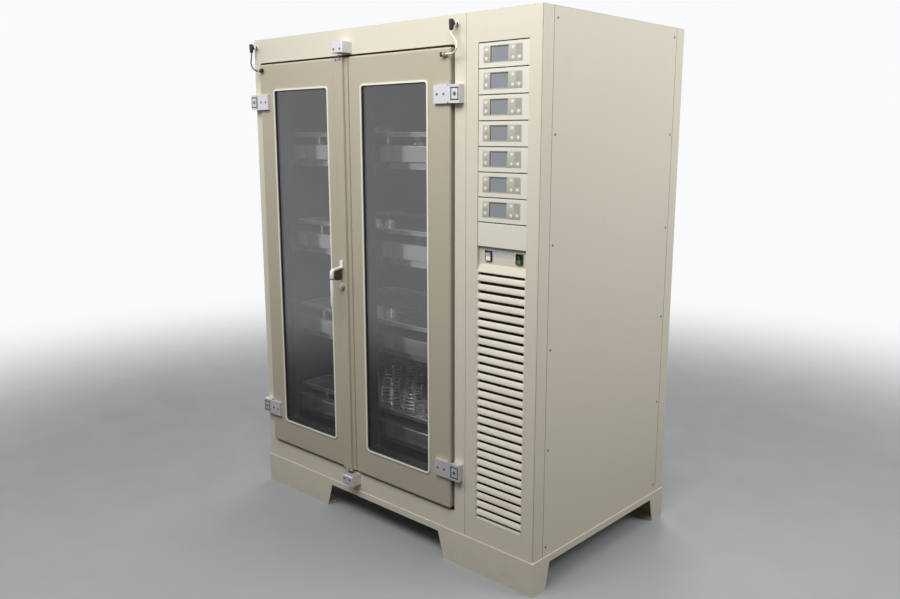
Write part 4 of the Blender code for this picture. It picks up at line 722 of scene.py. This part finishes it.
def makeKeypads(looks, trees):
    pad = {"left": 0.018, "right": 0.162, "bottom": 0.0149, "height": 0.0478, "face": 0.0015, "film": 0.0010}
    shown = {"left": 0.047, "right": 0.110, "inset": 0.0026, "edge": 0.0030}
    gapShade = {"left": 0.0006, "right": 0.1854, "back": 0.0045}
    keys = {"radius": 0.0051, "rise": 0.0016}
    places = ((0.0290, 0.76), (0.0290, 0.25), (0.1270, 0.79), (0.1270, 0.22), (0.1500, 0.23))
    c = columnSizes
    lowest = c["moduleTop"] - c["modules"] * c["modulePitch"]
    x, z = c["left"], lowest + pad["bottom"]
    zTop = z + pad["height"]
    face, film = pad["face"], pad["face"] + 0.0006 - pad["film"]
    left, right, inset, edge = x + shown["left"], x + shown["right"], shown["inset"], shown["edge"]
    gapShadeLeft, gapShadeRight = x + gapShade["left"], x + gapShade["right"]

    # The lowest module's shape, repeated up the others
    def stackUp(name, bm, look):
        values = {"Count": c["modules"], "Pitch": c["modulePitch"], "Material": looks[look]}
        runTree(name, trees["stack"], meshOf(bm, name), values, "cabinet")

    stackUp("keypadFilms", slabs(
        film, face + 0.0004, 0.0006, 2,
        (x + pad["left"], left - edge, z, zTop), (right + edge * 0.4, x + pad["right"], z, zTop),
        (left - edge - 0.001, right + edge, z, z + inset),
        (left - edge - 0.001, right + edge, zTop - inset * 0.5, zTop),
    ), "keypadFilm")
    stackUp("keypadPatches", slabs(
        film - 0.0002, face + 0.0002, 0.0002, 1,
        (x + 0.1375, x + 0.1600, z + 0.0200, zTop - 0.0012),
        (x + 0.0190, x + 0.0390, z + 0.0215, zTop - 0.0215),
    ), "filmPatch")
    stackUp("displayLenses", slabs(
        face + 0.0009, face + 0.0016, 0.0002, 1,
        (left + 0.0020, right + 0.0008, z + inset, zTop - inset - 0.0010),
    ), "displayGlass")
    # Strips along the left and top of each display: painted shade of the recess
    stackUp("displayShades", slabs(
        film, face + 0.0010, 0.0002, 1,
        (left - edge, left + 0.0022, z + inset, zTop - inset * 0.5),
        (left, right + 0.0008, zTop - inset - 0.0014, zTop - inset * 0.5),
    ), "paintedDisplayShade")
    # Dark strips in the gaps between modules, and above the top one: painted shade of these gaps
    stackUp("moduleGapShades", slabs(
        0.0022, gapShade["back"], 0.0003, 1, (gapShadeLeft, gapShadeRight, lowest - 0.0012, lowest + 0.0012),
    ), "darkShadow")
    top = c["moduleTop"]
    bm = slabs(0.0013, gapShade["back"], 0.0003, 1, (gapShadeLeft, gapShadeRight, top - 0.0030, top + 0.0005))
    addPiece("topGapShade", bm, looks["darkShadow"], "cabinet")
    bm = bmesh.new()
    r, rise = keys["radius"], keys["rise"]
    profile = [(0, 0), (0, r), (rise * 0.6, r), (rise * 0.92, r * 0.88), (rise, r * 0.6), (rise * 0.9, 0)]
    for across, up in places:
        addLathe(bm, profile, at(x + across, face + 0.0005, z + pad["height"] * up), (0, -1, 0), 18)
    stackUp("keypadKeys", bm, "keyRubber")


def makeSwitches(looks):
    bezel = {"halfWidth": 0.0094, "halfHeight": 0.0124, "band": 0.0034, "front": 0.0068}
    w, h, b = bezel["halfWidth"], bezel["halfHeight"], bezel["band"]
    y0, y1, z = bezel["front"] - 0.0005, 0.0121, 1.0440
    over = 0.0005
    for name, x in (("power", 1.1614), ("lamp", 1.2792)):
        bm = slabs(
            y0, y1, 0.0007, 2,
            (x - w - b, x + w + b, z + h, z + h + b), (x - w - b, x + w + b, z - h - b, z - h),
            (x - w - b, x - w, z - h - over, z + h + over), (x + w, x + w + b, z - h - over, z + h + over),
        )
        addPiece(f"{name}SwitchBezel", bm, looks["blackPlastic"], "cabinet")
    bm = slabs(0.0117, 0.0121, 0.0001, 1, (1.1770, 1.2580, 1.0420, 1.0680))
    addPiece("blankLabel", bm, looks["labelFilm"], "cabinet")


# A rounded outline in the plane of the doors, run round a ring of a given cross-section
def addRing(bm, x0, z0, x1, z1, radius, section, steps=6):
    corners = (
        (x1 - radius, z1 - radius, 0), (x0 + radius, z1 - radius, 90),
        (x0 + radius, z0 + radius, 180), (x1 - radius, z0 + radius, 270),
    )
    part = bmesh.new()
    rings = []
    for cx, cz, start in corners:
        for i in range(steps + 1):
            a = math.radians(start + 90 * i / steps)
            spots = [(cx + math.cos(a) * (radius - inset), y, cz + math.sin(a) * (radius - inset))
                     for inset, y in section]
            rings.append([part.verts.new(at(*spot)) for spot in spots])
    for a, b in zip(rings, rings[1:] + rings[:1]):
        for k in range(len(section)):
            m = (k + 1) % len(section)
            part.faces.new([a[k], a[m], b[m], b[k]])
    absorb(bm, part)


def makeSeals(looks):
    doors = {"left": (0.1328, 0.4488), "right": (0.6157, 0.9317)}
    window = {
        "low": 0.2860, "high": 1.5669, "radius": 0.016, "band": 0.0062, "seal": 0.0036,
        "front": -0.0128, "back": -0.0092,
    }
    for side, (x0, x1) in doors.items():
        bm = bmesh.new()
        start = window["band"] - 0.0002
        end = start + window["seal"]
        front, back = window["front"], window["back"]
        section = [(start, front), (end - 0.0008, front), (end, front + 0.0010), (end, back), (start, back)]
        addRing(bm, x0, window["low"], x1, window["high"], window["radius"], section)
        addPiece(f"{side}GlazingSeal", bm, looks["blackPlastic"], f"{side}_door_leaf")
    # A dark rubber ring set back in the gap round the door opening: painted shade of the gap
    gap = {"left": 0.038, "right": 1.0315, "low": 0.180, "high": 1.6653, "radius": 0.009}
    bm = bmesh.new()
    section = [
        (0.0001, 0.0160), (0.0001, 0.0060), (0.0030, 0.0045),
        (0.0058, 0.0060), (0.0062, 0.0110), (0.0058, 0.0160),
    ]
    addRing(bm, gap["left"], gap["low"], gap["right"], gap["high"], gap["radius"], section)
    addPiece("openingGapShade", bm, looks["rubber"], "cabinet")


def makeScrews(looks, trees):
    y = {"keeper": -0.042, "cover": -0.022, "hinge": -0.022}
    face = {"right": 1.3560, "back": 0.7860}
    forward = Vector((0, -1, 0))
    sets = {"cabinet": [], "left_door_leaf": [], "right_door_leaf": []}
    covers = [
        (at(x, depth, z), Vector((out, 0, 0))) for z in (1.718, 1.402, 1.087, 0.774, 0.460, 0.1435)
        for depth in (0.0655, 0.7215) for x, out in ((face["right"], 1), (0.0, -1))
    ]
    rear = [(x, z) for x in (0.06, 0.37, 0.68, 0.99, 1.30) for z in (0.135, 1.725)]
    rear += [(x, z) for z in (0.45, 0.77, 1.09, 1.41) for x in (0.02, 1.336)]
    covers += [(at(x, face["back"], z), Vector((0, 1, 0))) for x, z in rear]
    for z in (1.6818, 0.1635):
        for x in (0.5190, 0.5500):
            sets["cabinet"].append((at(x, y["keeper"], z), forward))
    for z in (1.6495, 0.1955):
        for x in (0.5035, 0.5255):
            sets["left_door_leaf"].append((at(x, y["cover"], z), forward))
    for z in (1.5215, 0.3270):
        for offset in (0.0215, 0.0500):
            sets["left_door_leaf"].append((at(0.0430 + offset, y["hinge"], z), forward))
            sets["right_door_leaf"].append((at(1.0265 - offset, y["hinge"], z), forward))
    jobs = [(f"screws_{body}", points, 0.0044, body) for body, points in sets.items()]
    for name, points, radius, body in jobs + [("coverScrews", covers, 0.0042, "cabinet")]:
        values = {
            "Head Radius": radius, "Head Height": 0.0014,
            "Material": looks["darkSteel"], "Recess Shade": looks["darkShadow"],
        }
        runTree(name, trees["screw"], pointsMesh("points", points), values, body)


def makeHingePads(looks):
    pad = {"near": 0.0062, "width": 0.0330, "half": 0.0195, "line": 0.0042, "front": -0.0222, "back": -0.0215}
    for side, pin, out in (("left", 0.0430, -1), ("right", 1.0265, 1)):
        for level, z in (("Top", 1.5215), ("Bottom", 0.3270)):
            half, line = pad["half"], pad["line"]
            x0, x1 = sorted((pin + out * (pad["near"] + 0.0004), pin + out * (pad["near"] + pad["width"])))
            # A dark square outline on each hinge block: painted shade of a recessed line
            bm = slabs(
                pad["front"], pad["back"], 0.0002, 1,
                (x0, x1, z + half - line, z + half), (x0, x1, z - half, z - half + line),
                (x0, x0 + line, z - half, z + half), (x1 - line, x1, z - half, z + half),
            )
            addPiece(f"{side}{level}HingeGrooveShade", bm, looks["recessShadeMetal"], "cabinet")
            bm = bmesh.new()
            middle = (x0 + x1) / 2
            profile = [(0, 0), (0, 0.0064), (0.0008, 0.0064), (0.0014, 0.0054), (0.0014, 0.0032)]
            profile += [(0.0004, 0.0026), (0.0004, 0)]
            addLathe(bm, profile, at(middle, -0.0219, z), (0, -1, 0), 20)
            addPiece(f"{side}{level}HingeScrew", bm, looks["darkSteel"], "cabinet")


def makeHandle(looks):
    lever = {"x": 0.5145, "reach": 0.0705, "top": 0.9370, "ring": 0.9068, "end": 0.8105, "web": 0.0076}
    x, reach, top = lever["x"], lever["reach"], lever["top"]
    bends = [(-0.0250, 0.9450, 0.0052), (-0.0330, 0.9438, 0.0052), (-0.0450, 0.9418, 0.0055)]
    for turn, radius in ((0.0, 0.0062), (0.3, 0.0068), (0.6, 0.0072), (0.85, 0.0074)):
        a = math.pi / 2 * turn
        bends.append((-reach + 0.012 - 0.012 * math.sin(a), top - 0.009 + 0.0115 * math.cos(a), radius))
    ring, end = lever["ring"], lever["end"]
    bends += [(-reach, z, radius) for z, radius in (
        (top - 0.011, 0.0075), (ring + 0.0035, 0.0075), (ring + 0.0024, 0.0070), (ring + 0.0020, 0.0056),
        (ring - 0.0010, 0.0056), (ring - 0.0016, 0.0063), (ring - 0.0300, 0.0066), (end + 0.0020, 0.0066),
        (end + 0.0006, 0.0061), (end, 0.0052),
    )]
    bm = bmesh.new()
    addTube(bm, [at(x, y, z) for y, z, _ in bends], [radius for _, _, radius in bends], 24)
    addPiece("handleLever", bm, looks["handleMetal"], "door_handle_body", ["door_handle"])
    # A dark ring in the lever's notch: painted shade of the notch
    bm = bmesh.new()
    addLathe(bm, [(0, 0.0050), (0, 0.0062), (0.0026, 0.0062), (0.0026, 0.0050), (0, 0.0050)],
             at(x, -reach, ring + 0.0018), (0, 0, -1), 24)
    addPiece("handleRing", bm, looks["handleShadeMetal"], "door_handle_body")

    half = lever["web"] / 2
    outline = [
        (-0.0275, 0.9440), (-0.0275, 0.9010), (-0.0500, 0.9000), (-0.0650, 0.9070),
        (-0.0690, 0.9200), (-0.0690, 0.9330), (-0.0560, 0.9400),
    ]
    # The web is dark: painted shade of the underside of the arm
    bm = bmesh.new()
    addPrism(bm, outline, x - half, x + half)
    bmesh.ops.bevel(bm, geom=bm.edges[:], offset=0.0011, segments=2, profile=0.5, affect="EDGES")
    addPiece("handleWeb", bm, looks["handleShadeMetal"], "door_handle_body")

    # Dark strips across both faces of the web: painted shade of grooves
    bm = bmesh.new()
    groove = {"top": 0.9340, "pitch": 0.0066, "halfWidth": 0.0011, "halfDepth": 0.0004}
    for k in range(5):
        low = groove["top"] - k * groove["pitch"]
        for cut in (x - half, x + half):
            corner = (cut - groove["halfDepth"], -0.0600 + 0.0016 * k, low - groove["halfWidth"])
            addBox(bm, corner, (cut + groove["halfDepth"], -0.0300, low + groove["halfWidth"]), 0.0003, 1)
    addPiece("handleGrooveShades", bm, looks["darkShadow"], "door_handle_body")

    bm = slabs(-0.0294, -0.0223, 0.0016, 3, (x - 0.0068, x + 0.0068, 0.9400, 0.9690))
    addPiece("handlePlate", bm, looks["handleMetal"], "door_handle_body")
    bm = bmesh.new()
    profile = [(0, 0.0092), (0, 0.0116), (0.0110, 0.0116), (0.0124, 0.0104), (0.0124, 0.0088)]
    profile += [(0.0100, 0.0086), (0, 0.0092)]
    addLathe(bm, profile, at(x, -0.0220, 0.878), (0, -1, 0), 28)
    addPiece("keyCollarRing", bm, looks["dullMetal"], "left_door_leaf")


def makeLead(looks, side, s):
    gland = {"y": -0.0195, "z": 1.6365, "radius": 0.0070, "length": 0.016}
    plug = {"reach": 0.033, "radius": 0.0072, "z": 1.722, "drop": 0.020}
    dropY = plug["radius"] - plug["reach"]
    exitZ = plug["z"] - plug["drop"] - 0.00045
    barbs = {"count": 3, "from": 0.0004, "pitch": 0.0021}
    px, gx, facing = s["plugX"], s["glandX"], s["facing"]
    entry = gx - facing * (gland["length"] / 2 + 0.00045)
    gy, gz = gland["y"], gland["z"]
    if side == "left":
        route = [
            (px, dropY, exitZ), (px, dropY, exitZ - 0.004), (px, dropY - 0.001, exitZ - 0.014),
            (px - 0.003, dropY - 0.002, exitZ - 0.038), (entry - 0.0236, gy - 0.0115, gz + 0.0085),
            (entry - 0.0141, gy - 0.003, gz), (entry - 0.004, gy, gz), (entry, gy, gz),
        ]
    else:
        route = [
            (px, dropY, exitZ), (px, dropY, exitZ - 0.004), (px + 0.002, dropY - 0.001, exitZ - 0.012),
            (px + 0.018, dropY + 0.002, exitZ - 0.034), (px + 0.0245, gy - 0.0115, gz + 0.0135),
            (px + 0.008, gy - 0.0055, gz + 0.0015), (entry + 0.010, gy - 0.001, gz),
            (entry + 0.004, gy, gz), (entry, gy, gz),
        ]
    bm = bmesh.new()
    addTube(bm, smoothRun([at(*p) for p in route], 7), s["radius"], 12)
    name, stoodFor = f"{side}DoorCable", [f"{side}_door_lead"]
    lead = addPiece(name, bm, looks[s["look"]], "cabinet", stoodFor, ride=False)
    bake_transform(lead)
    bm = bmesh.new()
    r, half = gland["radius"], gland["length"] / 2
    profile = [(-half - 0.0001, 0), (-half - 0.0001, 0.0040)]
    for i in range(barbs["count"]):
        a, crest = -half + barbs["from"] + i * barbs["pitch"], 0.0054 + i * 0.0003
        profile += [(a, 0.0046 + i * 0.0004), (a + 0.0008, crest), (a + 0.0014, crest)]
    profile += [(-half + 0.0070, r + 0.0003), (half + 0.0001, r + 0.0003)]
    profile += [(half + 0.0006, r - 0.0006), (half + 0.0006, 0)]
    addLathe(bm, profile, at(gx, gy, gz), (facing, 0, 0), 20)
    addBox(bm, (gx - 0.0063, gy, gz - 0.0063), (gx + 0.0063, -0.0119, gz + 0.0063), 0.0006)
    addPiece(f"{side}CableGland", bm, looks["blackPlastic"], f"{side}_door_leaf")
    bm = bmesh.new()
    profile = [(0, 0), (0, 0.0092), (0.0016, 0.0094), (0.0030, 0.0086), (0.0036, 0.0070), (0.0036, 0)]
    addLathe(bm, profile, at(px, -0.0001, plug["z"]), (0, -1, 0), 24)
    addPiece(f"{side}PlugFlange", bm, looks["dullMetal"], "cabinet")
    bm = bmesh.new()
    profile = [
        (0, 0), (0, 0.0036), (0.0010, 0.0048), (0.0060, 0.0066), (0.0190, 0.0074), (0.0300, 0.0074),
        (0.0316, 0.0060), (0.0316, 0),
    ]
    addLathe(bm, profile, at(px, dropY, plug["z"] - plug["drop"]), (0, 0, 1), 24)
    profile = [(0, 0), (0, 0.0060), (0.0225, 0.0060), (0.0225, 0)]
    addLathe(bm, profile, at(px, -0.004, plug["z"]), (0, -1, 0), 20)
    stoodFor = [f"{side}_lead_plug"]
    addPiece(f"{side}CablePlug", bm, looks["blackPlastic"], "cabinet", stoodFor)
    bm = bmesh.new()
    profile = [(0, 0.0062), (0, 0.0084), (0.0012, 0.0088), (0.0040, 0.0088), (0.0050, 0.0082)]
    profile += [(0.0050, 0.0062), (0, 0.0062)]
    addLathe(bm, profile, at(px, -0.0115, plug["z"]), (0, -1, 0), 24)
    addPiece(f"{side}PlugCollar", bm, looks["chrome"], "cabinet")


def makeLeads(looks):
    sides = {
        "left": {
            "plugX": 0.022, "glandX": 0.0680, "facing": 1, "radius": 0.0023,
            "look": "rubber", "slot": "rubber",
        },
        "right": {
            "plugX": 1.0405, "glandX": 1.0013, "facing": -1, "radius": 0.0027,
            "look": "ivoryTrim", "slot": "white_plastic",
        },
    }
    for side, s in sides.items():
        makeLead(looks, side, s)


# A flask clamp: base cup, six sprung fingers and a coiled spring round them, as five rings
def springClamp(radius, height):
    bm = bmesh.new()
    base, up = Vector((0, 0, 0)), Vector((0, 0, 1))
    finger = {"count": 6, "turn": 0.35, "half": 0.11, "sheet": 0.0006}
    curve = ((0.94, 0.001), (1.04, 0.08), (1.00, 0.35), (0.92, 0.62), (0.80, 0.90), (0.86, 1.0))
    spring = {"turns": 24, "wire": 0.07}
    profile = [
        (0, 0), (0, radius), (0.0015, radius), (0.0030, radius * 0.96), (0.0030, radius * 0.5),
        (0.0018, radius * 0.45), (0.0018, 0),
    ]
    addLathe(bm, profile, base, up, 20)
    for k in range(finger["count"]):
        a = math.tau * k / finger["count"] + finger["turn"]
        out = Vector((math.cos(a), math.sin(a), 0))
        half = Vector((-math.sin(a), math.cos(a), 0)) * radius * finger["half"]
        thick = out * finger["sheet"]
        rings = []
        for reach, level in curve:
            middle = out * radius * reach + up * height * level
            corners = (half + thick, half - thick, -half - thick, -half + thick)
            rings.append([bm.verts.new(middle + corner) for corner in corners])
        for p, q in zip(rings, rings[1:]):
            for i in range(4):
                j = (i + 1) % 4
                bm.faces.new([p[i], p[j], q[j], q[i]])
        bm.faces.new(rings[0])
        bm.faces.new(rings[-1][::-1])
    axes = Vector((1, 0, 0)), Vector((0, 1, 0))
    for level, reach in ((0.16, 1.09), (0.32, 1.07), (0.48, 1.03), (0.64, 0.98), (0.80, 0.90)):
        loop = circle(up * height * level, *axes, radius * reach, spring["turns"])
        addTube(bm, loop + [loop[0]], radius * spring["wire"], 8)
    return bm


# Edge wires, fixing holes drawn as dark discs of painted shade, and flask clamps of the platforms
def makeShelves(looks, trees):
    tops = {1: 1.367, 2: 1.036, 3: 0.705, 4: 0.374}
    deck = {"lift": 0.028, "thickness": 0.003, "low": (0.1035, 0.0977), "high": (0.9667, 0.5977)}
    wire = {"radius": 0.0026, "inset": 0.008, "bend": 0.0072, "lift": 0.0418}

    # Repeats a shape over a platform: columns and rows, the size of their grid and its middle
    def spreadOver(name, shape, number, grid, size, middle, lift, look):
        z = tops[number] + deck["lift"] + deck["thickness"] + lift
        values = {
            "Columns": grid[0], "Rows": grid[1], "Width": size[0], "Depth": size[1],
            "Centre": at(*middle, z), "Material": looks[look],
        }
        runTree(name, trees["spread"], meshOf(shape, name), values, f"platform_{number}_body")

    for number, top in tops.items():
        x0, y0 = (low + wire["inset"] for low in deck["low"])
        x1, y1 = (high - wire["inset"] for high in deck["high"])
        loop = []
        for k, (x, y) in enumerate(((x0, y0), (x1, y0), (x1, y1), (x0, y1))):
            for step in range(5):
                a = math.radians(180 + 90 * k + 22.5 * step)
                bend = wire["bend"]
                loop.append(at(x + math.cos(a) * bend, y + math.sin(a) * bend, top + wire["lift"]))
        bm = bmesh.new()
        addTube(bm, loop + [loop[0]], wire["radius"], 10)
        addPiece(f"platformEdge_{number}", bm, looks["chrome"], f"platform_{number}_body")
        # Dark discs: painted shade of the fixing holes
        bm = bmesh.new()
        addLathe(bm, [(0, 0), (0, 0.0026), (0.0003, 0.0026), (0.0003, 0)], (0, 0, 0), (0, 0, 1), 8)
        spreadOver(f"platformHoles_{number}", bm, number, (17, 10), (0.80, 0.44), (0.53475, 0.3475), -0.0001,
                   "darkShadow")
    clamps = [
        ("clampsLarge_4", 4, (3, 3), (0.24, 0.25), (0.530, 0.315), 0.044, 0.082),
        ("clampsSmall_4", 4, (3, 2), (0.15, 0.075), (0.815, 0.1875), 0.030, 0.060),
    ]
    for number in (1, 2, 3):
        clamps.append((f"clamps_{number}", number, (2, 2), (0.07, 0.06), (0.500, 0.160), 0.019, 0.031))
    for name, number, grid, size, middle, radius, height in clamps:
        shape = springClamp(radius, height)
        spreadOver(name, shape, number, grid, size, middle, 0.0002, "springSteel")


# Wire guard in front of the circulation fan
def makeFanGuard(looks):
    guard = {"x": 0.535, "z": 1.505, "front": 0.624, "wall": 0.6898, "radius": 0.086}
    guard |= {"rings": 6, "wire": 0.0012}
    front, sideways, up = guard["front"], Vector((1, 0, 0)), Vector((0, 0, 1))
    slanted = (sideways + up).normalized(), (up - sideways).normalized()
    bm = bmesh.new()
    for ring in range(guard["rings"]):
        share = (ring + 1) / guard["rings"]
        middle = at(guard["x"], front - 0.006 * (1 - share), guard["z"])
        loop = circle(middle, sideways, up, guard["radius"] * share, 40)
        addTube(bm, loop + [loop[0]], guard["wire"], 6)
    bends = ((front - 0.005, 1 / guard["rings"]), (front, 1), (front + 0.012, 1.02), (guard["wall"], 1.02))
    bent = [circle(at(guard["x"], y, guard["z"]), *slanted, guard["radius"] * share, 4) for y, share in bends]
    for spoke in zip(*bent):
        addTube(bm, spoke, guard["wire"] * 1.3, 6)
    addPiece("fanGuard", bm, looks["chrome"], "cabinet")


def main():
    makeCamera()
    looks = makeMaterials()
    makeStudio()
    print("studio and materials done")
    trees = {"stack": makeStackTree(), "screw": makeScrewTree(), "spread": makeSpreadTree()}
    paintNodes(looks)
    makeLouvre(looks, trees)
    makeKeypads(looks, trees)
    makeSwitches(looks)
    print("control column done")
    makeSeals(looks)
    makeScrews(looks, trees)
    makeHingePads(looks)
    makeHandle(looks)
    makeLeads(looks)
    print("doors done")
    makeShelves(looks, trees)
    makeFanGuard(looks)
    print("chamber done")


main()
